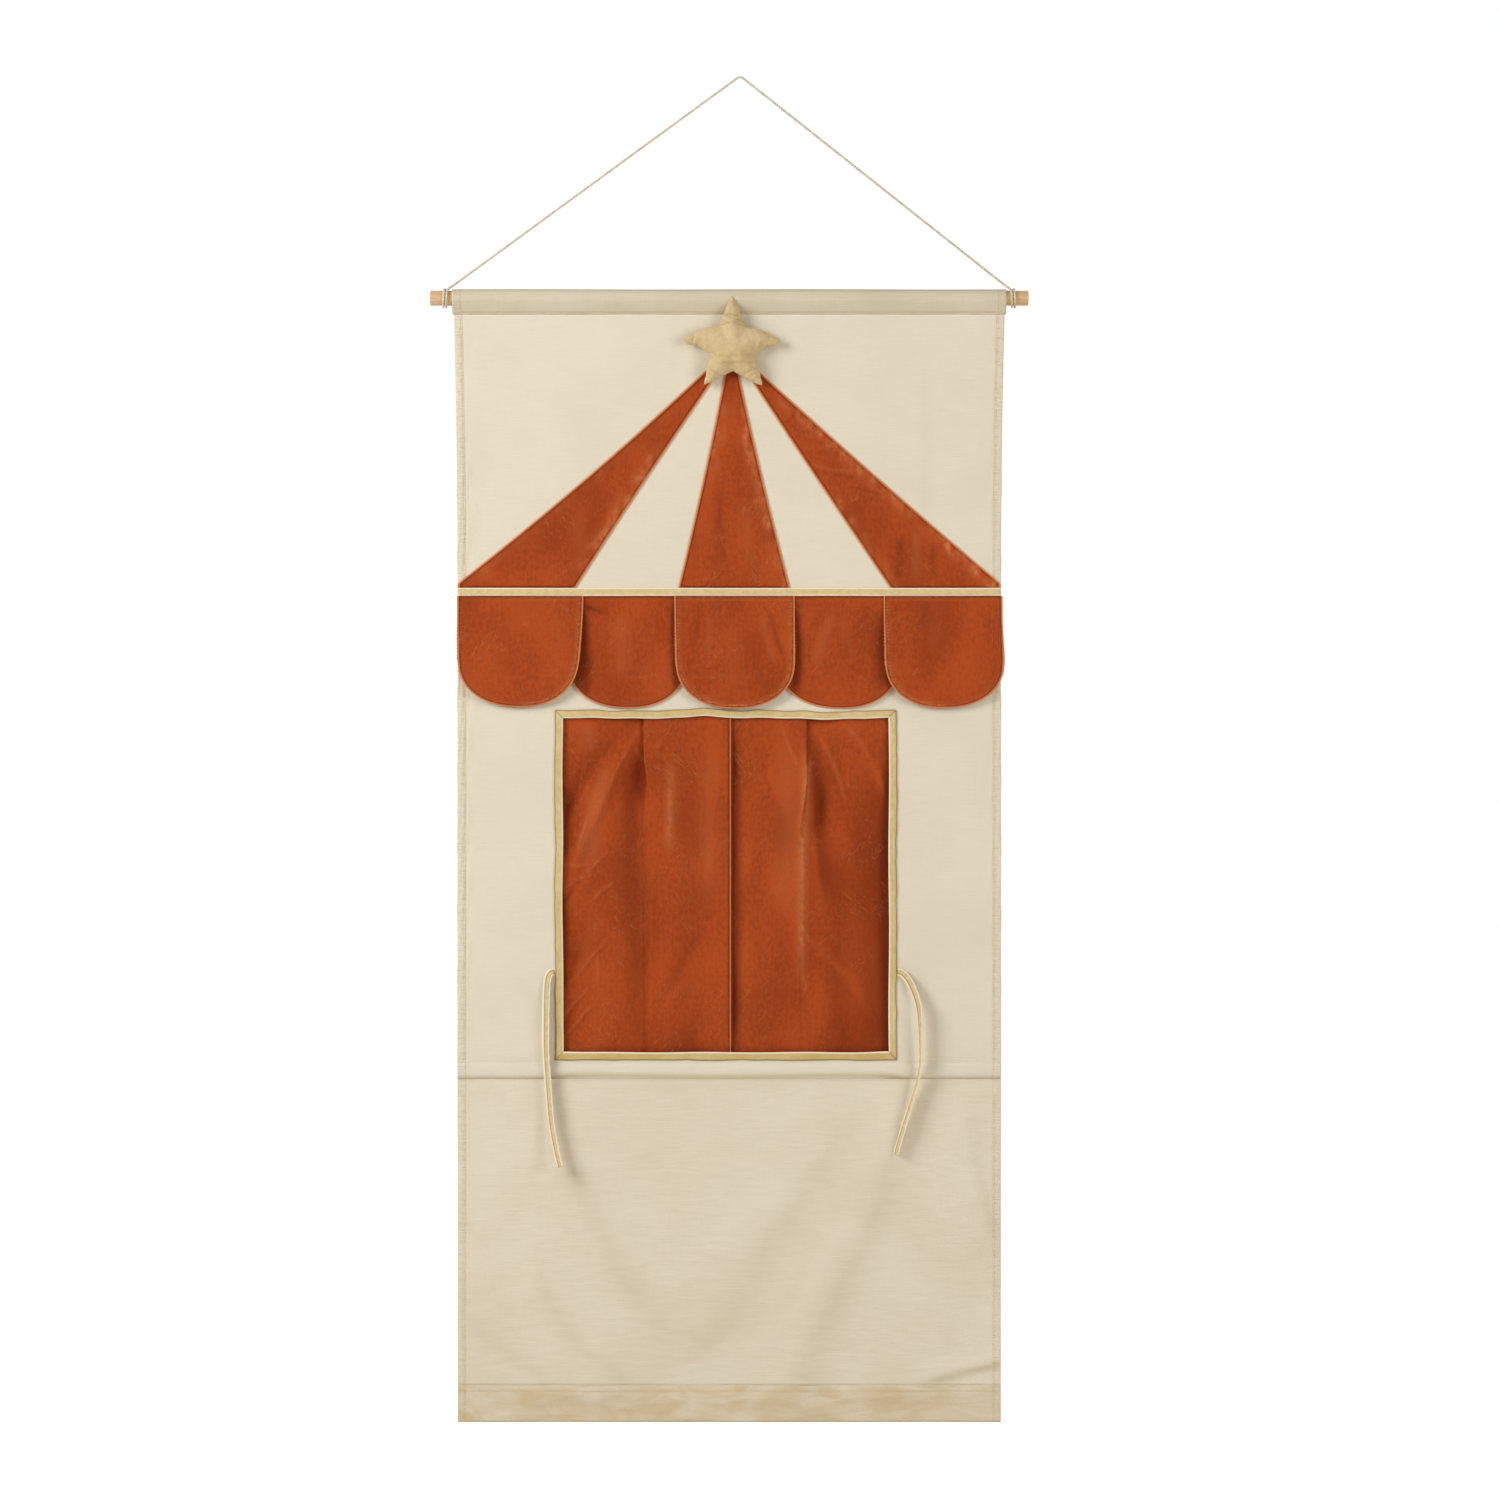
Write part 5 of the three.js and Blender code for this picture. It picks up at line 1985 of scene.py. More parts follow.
        def worn(u: float, v: float) -> float:
            """How far a place is paled: worn pile, and a painted highlight along the puckers beside
            the seam.
            """
            down = v * reach(u)
            rub = flap.left_rub if u < 0 else flap.right_rub
            waves = 0.6 + 0.4 * math.sin(2 * math.pi * down / self.pucker_pitch)
            return (0.12 + rub * (0.4 + 0.6 * v)) * waves * bell(edge(u, v), 5, 3)

        def tone(u: float, v: float) -> float:
            """How much painted shade a place has, or painted light below zero."""
            down = v * reach(u)
            # Painted shadow under the tape at the flap's top.
            under = 0.8 * bell(down, 0, 3)
            return under + marked(flap.shade_and_tone_marks, across(u, down), self.top_drop + down)

        piece = cloth_grid(
            f"scallop_{number}_velvet",
            [-math.cos(math.pi * i / 56) for i in range(57)],
            [1 - (1 - i / 96) ** 1.15 for i in range(97)],
            place,
            self.finishes.rust_velvet,
            edge_at=edge,
            measure=measure,
            wear_and_highlight_at=worn,
            shade_and_tone_at=tone,
        )
        solidify(piece, banner.thickness)
        settle(piece, "valance", "rust_velvet", f"scallop_{number}")
        inset = self.seam_inset
        rounding = self.rounding - inset
        outline = [(-1, down) for down in steps(1, straight, 16)]
        for turn in steps(0, math.pi, 60)[1:]:
            level = math.copysign(abs(math.cos(turn)) ** (2 / power), -math.cos(turn))
            outline.append((level, straight + rounding * math.sin(turn) ** (2 / power)))
        outline += [(1, down) for down in steps(straight, 1, 16)[1:]]
        spots = []
        for level, down in outline:
            u = level * (half - inset) / half
            x = across(u, down)
            y = banner.face_of_layer(flap.layer) - 0.2
            y -= self._lift(flap, u, x, down / flap.length)
            spots.append(banner.at(x, y, self.top_drop + down))
        line, total = polyline(spots)
        stitches = sew(
            f"scallop_{number}_stitches",
            [stitches_along(line, total, length=2.3, gap=1)],
            self.finishes.rust_thread,
        )
        settle(stitches, "valance", "rust_velvet")

    def build(self) -> None:
        """Makes the five flaps."""
        for number, flap in enumerate(self.flaps, start=1):
            self._scallop(number, flap)


@dataclass
class WindowBinding(SubAssembly):
    """Tape folded over the raw edge of the stage window, mitred at its corners."""

    width: float = 10.7
    cloth: float = 1.0
    seam_inset: float = 8.6

    def _section(self) -> list[tuple[float, float]]:
        """The tape's outer face: from the front's outer edge, round the raw edge, to the back's."""
        face = -self.banner.face_of_layer(1)
        front = [(self.width - d, -face + 0.18 * bell(d, 0, 0.8)) for d in (0, 0.5, 1.2, 2.1)]
        front += [(w, -face - 0.12) for w in (7, 5.4, 3.9, 3.2, 2.4)]
        turn = [(1.2, -face), (0.45, -face + 0.4), (0.08, -face + 1.1), (0, 0)]
        turn += [(0.08, face - 1.1), (0.45, face - 0.4), (1.2, face)]
        back = [(w, face) for w in (3, 6, 9, self.width)]
        return [*front, *turn, *back]

    def _strip(self, edge: WindowEdge) -> None:
        """Makes the tape on one edge.

        Args:
            edge: The window's edge.
        """
        banner = self.banner
        upright = edge in (WindowEdge.LEFT, WindowEdge.RIGHT)
        half_length = (banner.window_height if upright else banner.window_width) / 2
        reach = (banner.window_width if upright else banner.window_height) / 2
        mitre = banner.gap * math.sqrt(0.5)
        quarter = edge.value
        along_x, along_down = ((1, 0), (0, 1), (-1, 0), (0, -1))[quarter]
        out_x, out_down = ((0, -1), (1, 0), (0, 1), (-1, 0))[quarter]
        middle_drop = banner.window_top_drop + banner.window_height / 2
        word = f"window_binding_{edge.name.lower()}"
        section = self._section()
        run = reaches_along(section)

        def spot(u: float, w: float) -> tuple[float, float]:
            """Where a place along and across the tape lies on the banner."""
            along = u * (half_length + w - mitre)
            x = banner.window_middle + along_x * along + out_x * (reach + w)
            return x, middle_drop + along_down * along + out_down * (reach + w)

        def place(u: float, v: float) -> Vector:
            """The point of the frame for a place on the cloth."""
            w, y = section[round(v)]
            along = u * half_length
            if y < 0:
                wander = noise.noise(Vector((along / 19, quarter * 7, 0.5)))
                w += 1.1 * wander * smooth_step(4, self.width, w) * (1 - abs(u) ** 8)
            x, drop = spot(u, w)
            ripple = 0.16 * math.sin(along / 3.1 + 2 * math.sin(along / 23 + quarter))
            out = ripple * bell(w, self.seam_inset, 3) * (1 if y < 0 else 0)
            return banner.at_window(x, y + out, drop)

        def measure(u: float, v: float) -> Vector:
            """A place's measure along the threads."""
            return Vector((u * half_length * MM + quarter, -run[round(v)] * MM, 0))

        def tape_darkening(u: float, v: float) -> float:
            """How much darker the tape is, in uneven patches: the sill's tape most."""
            patch = noise.noise(Vector((u * half_length / 26, quarter * 5, 2.5)))
            ground = 0.5 if edge is WindowEdge.BOTTOM else 0.12
            return max(ground + 0.35 * patch, 0)

        tape = cloth_grid(
            f"{word}_tape",
            steps(-1, 1, 150),
            numbered(section),
            place,
            self.finishes.tape,
            edge_at=lambda u, v: section[round(v)][0],
            measure=measure,
            shade_and_tone_at=tape_darkening,
        )
        solidify(tape, self.cloth)
        settle(tape, "banner", "sand_tape", word)
        runs = []
        for inset in (self.seam_inset, 3.4):

            def line(distance: float, w: float = inset) -> Vector:
                """The seam's point at a distance along it."""
                u = (distance - half_length) / half_length
                x, drop = spot(u, w)
                return banner.at_window(x, banner.face_of_layer(1) - 0.18, drop)

            runs.append(stitches_along(line, 2 * half_length, length=2.4, gap=1))
        mitred = [spot(1, w) for w in (1.2, self.width - 0.6)]
        corner, total = polyline(
            [banner.at_window(x, -banner.thickness * 1.9, drop) for x, drop in mitred]
        )
        runs.append(stitches_along(corner, total, length=1.6, gap=0.7))
        stitches = sew(f"{word}_stitches", runs, self.finishes.pale_thread, width=0.55)
        settle(stitches, "banner", "sand_tape")

    def build(self) -> None:
        """Makes the tape on the four edges."""
        for edge in WindowEdge:
            self._strip(edge)


@dataclass
class Curtain(SubAssembly):
    """One velvet curtain: a pleat folded back under itself at the top, which opens as it hangs."""

    side: Side
    pleat_place: float
    pleat_ends: float
    edge_stand: float
    creases: tuple[Crease, ...]
    # Marks of painted shade, and of painted light below zero.
    shade_and_tone_marks: tuple[Crease, ...]
    cloth: float = 1.0
    crease_depth: float = 1.35
    margin: float = 20.0
    head: float = 15.0
    foot: float = 5.5
    lap: float = 12.0
    lap_edge_offset: float = 7.0
    lap_step: float = 2.6
    lap_run: float = 26.0
    tuck: float = 18.0
    bend: float = 1.6
    least_bend_run: float = 2.4
    wave: float = 2.2
    stand: float = 5.4
    edge_inset: float = 2.4
    seam_inset: float = 5.2

    def _line(self, width: float, fall: float) -> list[tuple[float, float, float]]:
        """One level, from the outer edge to the inner one.

        Args:
            width: The curtain's finished width.
            fall: The share of the way down.

        Returns:
            For each column, how far across and back it lies, and its length along the cloth.
        """
        opening = 0.99 * smooth_step(self.pleat_ends - 0.26, self.pleat_ends, fall)
        turn = math.pi * (1 - opening)
        tuck = self.tuck * (1 - 0.72 * fall) * (1 - 0.35 * math.sin(math.pi * opening))
        bend = max(self.bend * (1 + 2 * opening), self.least_bend_run / turn)
        outer = width * self.pleat_place + tuck
        inner = width * (1 - self.pleat_place)
        depth = 2 * bend * (1 - math.cos(turn)) + tuck * math.sin(turn)
        outer_columns = 52
        runs = (
            (outer, outer_columns, lambda share: 0),
            (bend * turn, 7, lambda share: turn * share),
            (tuck, 8, lambda share: turn),
            (bend * turn, 7, lambda share: turn * (1 - share)),
            (inner, 50, lambda share: 0),
        )
        x = y = along = 0
        line = [(0, 0, 0)]
        for length, count, heading_at in runs:
            for step in range(count):
                heading = heading_at((step + 0.5) / count)
                x += length / count * math.cos(heading)
                y -= length / count * math.sin(heading)
                along += length / count
                line.append((x, y, along))
        shaped = []
        for column, (across, back, reach) in enumerate(line):
            share = column / (len(line) - 1)
            settled = depth * smooth_step(0.5, 1, column / outer_columns)
            fade = smooth_step(0, 0.15, min(share, 1 - share))
            swell = (1 - math.cos(2 * math.pi * (3.5 * share - 0.35 * fall))) / 2
            pull = self.wave * fall * fade * swell
            shaped.append((across * width / x, back + settled + pull, reach))
        return shaped

    def build(self) -> None:
        """Makes the curtain and the double row of stitches down its inner edge."""
        banner, way = self.banner, self.side.value
        window_edge = banner.window_width / 2 + self.margin
        inner_edge = self.lap_edge_offset - (self.lap if way > 0 else 0)
        width = window_edge - way * inner_edge
        height = self.head + banner.window_height + self.foot
        top = banner.window_top_drop - self.head
        plane = banner.thickness / 2 + banner.thickness + 2 * banner.gap
        rows = places([0, self.head / height, 1], [0.012, 0.0046])
        lines = [self._line(width, fall) for fall in rows]
        columns = len(lines[0]) - 1

        def spot(column: int, row: int) -> tuple[float, float, float]:
            """Where a column and row lie: across the banner, back from it and down it."""
            across, back, _ = lines[row][column]
            fall = rows[row]
            inward = width - across
            apart = 0.3 + bell(fall, 0.13, 0.1) + bell(fall, 0.84, 0.12)
            near = 1 - smooth_step(self.lap, self.lap + self.lap_run, inward)
            hang = smooth_step(0.03, 0.2, fall)
            outer = self.edge_stand + (1 - self.edge_stand) * smooth_step(0, 60, across)
            x = banner.window_middle + way * (window_edge - across)
            drop = top + height * fall
            lift = self.crease_depth * marked(self.creases, x, drop)
            fine = noise.noise(Vector((x / 34, drop / 60, 3 + way)))
            loose = self.stand * outer + 0.9 * fine
            if way > 0:
                back += near * (self.lap_step + hang * 1.2 * apart)
            else:
                loose -= near * apart
            back += hang * (loose - lift * (1 - 0.75 * near))
            seam = 0.22 * bell(inward, self.seam_inset, 1.4)
            pucker = 0.3 * math.sin(drop / 2.9) * bell(inward, 3, 5)
            sewn = 0.25 * math.sin(x / 2.6) * bell(fall, 0.03, 0.02)
            return x, max(plane + back + seam + pucker + sewn + 0.15, plane), drop

        def place(u: float, v: float) -> Vector:
            """The point of the frame for a place on the cloth."""
            x, y, drop = spot(round(u), round(v))
            return banner.at_window(x, y, drop)

        def measure(u: float, v: float) -> Vector:
            """A place's measure along the threads."""
            reach = lines[round(v)][round(u)][2]
            drop = top + height * rows[round(v)]
            return Vector((way * (window_edge - reach) * MM, -drop * MM, 0))

        def edge(u: float, v: float) -> float:
            """How far a place is from the cut edge."""
            across = lines[round(v)][round(u)][0]
            return min(width - across, height * (1 - rows[round(v)])) + 0.2

        def level(u: float, v: float) -> tuple[float, float]:
            """Where a column and row lie on the banner, before the cloth hangs."""
            across = lines[round(v)][round(u)][0]
            x = banner.window_middle + way * (window_edge - across)
            return x, top + height * rows[round(v)]

        def worn(u: float, v: float) -> float:
            """How far a place is paled: worn pile, and a painted highlight along the ridges."""
            x, drop = level(u, v)
            uneven = noise.noise(Vector((x / 6, drop / 17, 9)))
            wear = sum(crease.wear(x, drop) for crease in self.creases)
            return 0.62 * wear * max(0.75 + 1.1 * uneven, 0)

        def tone(u: float, v: float) -> float:
            """How much painted shade a place has, or painted light below zero."""
            x, drop = level(u, v)
            # Painted shadow beside the window's edges, where the binding throws it, and the
            # curtain's marks of painted shade and light.
            beside = window_edge - abs(x - banner.window_middle) - self.margin
            binding_shadow = 0.55 * bell(beside, 0, 4) + 0.4 * bell(drop, banner.window_top_drop, 5)
            binding_shadow += 0.3 * bell(drop, banner.window_top_drop + banner.window_height, 4)
            return binding_shadow + marked(self.shade_and_tone_marks, x, drop)

        word = self.side.name.lower()
        curtain = cloth_grid(
            f"curtain_{word}_velvet",
            numbered(lines[0]),
            numbered(rows),
            place,
            self.finishes.rust_velvet,
            edge_at=edge,
            measure=measure,
            flip=self.side is Side.RIGHT,
            wear_and_highlight_at=worn,
            shade_and_tone_at=tone,
        )
        solidify(curtain, self.cloth)
        settle(curtain, "banner", "rust_velvet", f"curtain_{word}")
        seams = []
        for inset in (self.edge_inset, self.seam_inset):
            points = []
            for row in range(len(rows)):
                ordered = sorted(range(columns + 1), key=lambda c: lines[row][c][0])
                column = min(ordered, key=lambda c: abs(width - lines[row][c][0] - inset))
                x, y, drop = spot(column, row)
                x = banner.window_middle + way * (window_edge - width + inset)
                points.append(banner.at_window(x, y - 0.1, drop))
            line, total = polyline(points)
            seams.append(stitches_along(line, total, length=2.3, gap=1))
        stitches = sew(f"curtain_{word}_stitches", seams, self.finishes.rust_thread, width=0.5)
        settle(stitches, "banner", "rust_velvet")
        for piece in (curtain, stitches):
            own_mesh(piece)


@dataclass
class Sill(SubAssembly):
    """The canvas casing under the window, with the wooden bar that keeps the banner flat."""

    cloth: float = 1.0
    front_swell: float = 2.15
    back_swell: float = 8.9
    valley: float = 1.5
    seam_run: float = 92.0
    front_shares: tuple[float, ...] = (
        0, 0.007, 0.06, 0.12, 0.18, 0.26, 0.36, 0.48, 0.6, 0.7, 0.78, 0.85, 0.91, 0.96, 1
    )
    back_shares: tuple[float, ...] = (
        0, 0.06, 0.14, 0.24, 0.36, 0.5, 0.64, 0.76, 0.86, 0.94, 0.993, 1
    )

    def _section(self) -> list[tuple[float, float]]:
        """The outer face: down the front from the upper seam, and up again behind the bar."""
        top, low = self.banner.casing_top_drop - 0.25, self.banner.sill_drop
        face = self.banner.face_of_layer(0)
        front = []
        for share in self.front_shares:
            start = self.banner.bar_swell / self.front_swell
            full = start + (1 - start) * smooth_step(0, 0.26, share)
            full *= 1 - smooth_step(0.71, 1, share)
            front.append((face - self.front_swell * full, top + (low - top) * share))
        edge = self.banner.thickness
        back = []
        for share in self.back_shares:
            swell = self.back_swell * math.sin(math.pi * share) ** 0.9
            valley = self.valley * (1 - smooth_step(0, 0.3, share))
            ease = self.banner.bar_swell * smooth_step(0.8, 1, share)
            back.append((edge + swell + valley - ease, low + (top - low) * share))
        return [*front, *back]

    def build(self) -> None:
        """Dresses the bar and makes the casing with its two seams."""
        banner = self.banner
        bar = bpy.data.objects["spreader_bar"]
        bar.data.materials.clear()
        bar.data.materials.append(self.finishes.wood)
        section = self._section()
        reach = reaches_along(section)
        half = banner.width / 2

        def place(u: float, v: float) -> Vector:
            """The point of the frame for a place on the cloth."""
            y, drop = section[round(v)]
            share = (drop - banner.casing_top_drop) / banner.casing_height
            if y > 0:
                return banner.middle + Vector((u, y, -drop)) * MM
            full = bell(share, 0.45, 0.3)
            slack = 0.3 * full * (1 + math.sin(u / 43 + 0.4) + 0.5 * math.sin(u / 19))
            pucker = 0.12 * math.sin(u / 2.8 + 2 * math.sin(u / 31)) * bell(share, 0.94, 0.1)
            sunk = banner.sill_valley(u) * smooth_step(0.74, 1, share)
            return banner.middle + Vector((u, y - slack + pucker + sunk, -drop)) * MM

        def measure(u: float, v: float) -> Vector:
            """A place's measure along the threads."""
            return Vector((u * MM, -(banner.casing_top_drop + reach[round(v)]) * MM, 0))

        def tone(u: float, v: float) -> float:
            """How much painted shade a place has, or painted light below zero."""
            y, drop = section[round(v)]
            if y > 0:
                return 0
            middle = banner.under_window(u)
            rise = banner.sill_drop - drop
            sag = 6 - 4 * bell(u, -10, 110)
            # Painted shade in a soft band on the casing's lower half under the window, painted
            # light above it, a crisp line of painted shade at the lower seam beside the window, and
            # painted shadow where the ties cross.
            wide = middle * (0.5 * bell(rise, sag, 6.5) - 0.3 * bell(rise, 18, 5))
            line = 0.75 * (1 - 0.92 * middle) * bell(rise, 0.5, 1.8)
            tie_shadows = 0.45 * bell(rise, 4, 5) * (bell(u, -234, 15) + bell(u, 222, 14))
            return wide + line + tie_shadows - 0.15 * middle * bell(rise, 14, 5)

        casing = cloth_grid(
            "sill_casing_canvas",
            places([-half, -half + 11, half - 11, half], [2, 3, 2]),
            numbered(section),
            place,
            self.finishes.canvas,
            edge_at=lambda u, v: min(half - abs(u), 60),
            measure=measure,
            shade_and_tone_at=tone,
        )
        solidify(casing, self.cloth)
        settle(casing, "banner", "canvas", "sill_casing")
        runs = []
        for side in Side:
            for rise in (7.4, 3.4):

                def line(distance: float, way: int = side.value, rise: float = rise) -> Vector:
                    """The seam's point at a distance along it."""
                    x = way * (half - banner.hem_width - 6 - distance)
                    face = banner.face_of_layer(0) - 0.05
                    return banner.at_window(x, face, banner.casing_top_drop - rise)

                runs.append(stitches_along(line, self.seam_run, length=3.4, gap=0.6))

        def under(distance: float) -> Vector:
            """The lower seam's point at a distance along it."""
            x = distance - half + 3
            y = banner.face_of_layer(0) + banner.sill_valley(x) - 0.35
            return banner.middle + Vector((x, y, 0.9 - banner.sill_drop)) * MM

        runs.append(stitches_along(under, banner.width - 6))
        stitches = sew("sill_stitches", runs, self.finishes.pale_thread, width=0.4)
        settle(stitches, "banner", "canvas")


@dataclass
class Skirt(SubAssembly):
    """The canvas below the sill, which hangs free, with hemmed sides and a deep bottom hem."""

    bottom_drop: float = 1504.0
    bottom_hem: float = 50.0
    row_gap: float = 8.4
    settle: float = 2.4
    bend_length: float = 16.0
    # Marks of painted shade in the folds and towards the bottom, and of painted light below zero,
    # such as the lighter band under the sill.
    shade_and_tone_marks: tuple[Crease, ...] = (
        Crease(
            (
                (-228, 1020),
                (-208, 1171),
                (-165, 1262),
                (-120, 1338),
                (-70, 1388),
                (-28, 1398),
                (10, 1350),
                (53, 1276),
                (108, 1190),
                (165, 1105),
                (240, 990),
            ),
            30,
            0.2,
        ),
        Crease(
            ((240, 1080), (193, 1234), (143, 1336), (104, 1420), (70, 1520)),
            20,
            0.21,
            right_width=24,
        ),
        Crease(((192, 1150), (160, 1226), (92, 1352), (-30, 1440), (-90, 1450)), 18, -0.4),
        Crease(((-60, 1130), (-20, 1220), (10, 1290)), 60, -0.2),
        Crease(((-900, 1085), (0, 1080), (900, 1085)), 55, -0.22),
        Crease(((-900, 1440), (0, 1430), (900, 1440)), 70, 0.05),
        Crease(((-140, 1330), (-50, 1402), (30, 1330)), 24, 0.06),
        Crease(((318, 1075), (334, 1170), (362, 1280)), 10, 0.22),
        Crease(((250, 1456), (310, 1441), (392, 1418)), 7, 0.35),
        Crease(((-384, 1325), (-330, 1385), (-288, 1420), (-215, 1462)), 15, 0.22),
        Crease(((-272, 1260), (-236, 1350), (-204, 1404), (-110, 1464)), 15, 0.2),
        Crease(((-306, 1060), (-318, 1200), (-300, 1330)), 34, -0.2),
        Crease(((-262, 1040), (-258, 1110), (-264, 1200)), 12, 0.2),
        Crease(((-242, 1120), (-222, 1168), (-184, 1200)), 11, 0.22),
        Crease(((-300, 1490), (-235, 1472), (-160, 1494)), 11, 0.35),
        Crease(((-150, 1496), (-110, 1480), (-66, 1498)), 9, 0.3),
        Crease(((10, 1496), (60, 1474), (116, 1494)), 11, 0.35),
        Crease(((180, 1494), (240, 1470), (340, 1480)), 11, 0.28),
    )
    creases: tuple[Crease, ...] = (
        Crease(
            ((222, 1000), (204, 1148), (174, 1234), (124, 1334), (74, 1560)),
            46,
            4.5,
            right_width=30,
        ),
        Crease(
            ((226, 1008), (146, 1085), (90, 1170), (34, 1248), (-40, 1350)), 84, 4, right_width=30
        ),
        Crease(
            ((-250, 1110), (-190, 1255), (-146, 1340), (-96, 1404), (0, 1450)),
            58,
            5.6,
            right_width=26,
        ),
        Crease(((300, 1040), (308, 1100), (324, 1187), (350, 1300)), 30, 4, right_width=16),
        Crease(((390, 1414), (330, 1428), (240, 1448)), 15, 2.6, right_width=7),
        Crease(((-380, 1350), (-344, 1392), (-300, 1432), (-240, 1474)), 26, 3, right_width=17),
        Crease(((-276, 1270), (-262, 1326), (-222, 1408), (-130, 1484)), 34, 3.2, right_width=18),
        Crease(((-262, 1040), (-258, 1100), (-268, 1180)), 20, 1.6, right_width=12),
        Crease(((-70, 1478), (0, 1466), (90, 1482)), 12, 1.8, right_width=8),
        Crease(((250, 1476), (180, 1466), (110, 1484)), 10, 1.6, right_width=7),
        Crease(((-150, 1480), (-210, 1466), (-290, 1488)), 10, 1.6, right_width=7),
    )

    def _back(self, x: float, drop: float) -> float:
        """How far back the cloth hangs at a place.

        Args:
            x: The place across the banner.
            drop: The place down it.

        Returns:
            The distance in millimetres.
        """
        fall = (drop - self.banner.sill_drop) / (self.bottom_drop - self.banner.sill_drop)
        free = smooth_step(0, 0.22, fall)
        lift = sum(crease.lift(x, drop) for crease in self.creases)
        slow = noise.noise(Vector((x / 90, drop / 130, 8))) * 1.4
        weft = noise.noise(Vector((x / 34, drop / 9, 2))) * 0.34
        valley = self.banner.sill_valley(x) * (1 - smooth_step(0, 0.045, fall))
        return valley + free * (self.settle + slow + weft - lift)

    def build(self) -> None:
        """Makes the skirt, its hems and their stitches."""
        banner = self.banner
        half = banner.width / 2
        hem = banner.hem_place
        top = banner.sill_drop + banner.gap
        hem_drop = self.bottom_drop - self.bottom_hem
        low_row = hem_drop + self.row_gap

        def place(u: float, v: float) -> Vector:
            """The point of the frame for a place on the cloth."""
            pucker = 0.26 * banner.hem_pucker(u, v)
            pucker += 0.24 * math.sin(u / 3.1 + 2 * math.sin(u / 29)) * bell(v, hem_drop + 4, 5)
            relief = banner.hem_relief(u) + 0.45 * bell(v, hem_drop, 1.6)
            relief += 0.35 * bell(v, low_row, 1.6)
            settle = smooth_step(top, top + 12, v)
            y = banner.face_of_layer(0) + self._back(u, v) + (relief + pucker) * settle
            return banner.middle + Vector((u, y, -v)) * MM

        def hemmed(u: float, v: float) -> float:
            """How much darker the doubled cloth of a hem looks."""
            if v >= hem_drop + 0.5:
                return 1
            return 0.12 if abs(u) >= hem - 0.01 else 0

        def tone(u: float, v: float) -> float:
            """How much painted shade a place has, or painted light below zero."""
            # Painted shade along the hem's stitch rows with painted light between them, painted
            # shade under the sill, and darker along the bottom edge; the weft term is the cloth's
            # own uneven tone.
            seams = 0.6 * bell(v, hem_drop, 1.4) + 0.5 * bell(v, low_row, 1.3)
            seams -= 0.7 * bell(v, (hem_drop + low_row) / 2, 3)
            beside = smooth_step(190, 232, banner.off_middle(u))
            seams += 0.38 * beside * bell(v, top, 2.4) + 0.12 * (1 - beside) * bell(v, top, 5)
            seams += 0.5 * bell(v, self.bottom_drop, 2)
            weft = 0.09 * noise.noise(Vector((u / 30, v / 6.5, 21)))
            under = 0.3 * banner.under_window(u) * bell(v, top, 5)
            return seams + weft + under + marked(self.shade_and_tone_marks, u, v)

        skirt = cloth_grid(
            "skirt_canvas",
            places([-half, -hem, -hem + 6, hem - 6, hem, half], [1.8, 2, 6, 2, 1.8]),
            places(
                [top, top + 0.15, hem_drop - 4, hem_drop + 12, self.bottom_drop], [0.2, 3, 1.4, 3]
            ),
            place,
            self.finishes.skirt_canvas,
            edge_at=lambda u, v: half - abs(u),
            hem_at=hemmed,
            shade_and_tone_at=tone,
        )
        solidify(skirt, banner.thickness, hems=True)
        LOG.info("%s: %d faces", skirt.name, len(skirt.data.polygons))
        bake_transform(skirt)
        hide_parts("skirt_panel")
        runs = []
        for side in Side:

            def upright(distance: float, way: int = side.value) -> Vector:
                """A side seam's point at a distance down it."""
                drop = top + self.bend_length + 2 + distance
                x = way * (hem + 2.2)
                y = banner.face_of_layer(0) + self._back(x, drop) - 0.1
                return banner.middle + Vector((x, y, -drop)) * MM

            runs.append(stitches_along(upright, self.bottom_drop - top - self.bend_length - 5))
        for drop in (hem_drop, low_row):

            def level(distance: float, drop: float = drop) -> Vector:
                """A bottom seam's point at a distance along it."""
                x = distance - half + 2
                y = banner.face_of_layer(0) + self._back(x, drop) + 0.15
                return banner.middle + Vector((x, y, -drop)) * MM

            runs.append(stitches_along(level, banner.width - 4))
        stitches = sew("skirt_hem_stitches", runs, self.finishes.pale_thread, width=0.5)
        settle(stitches, "skirt", "canvas")


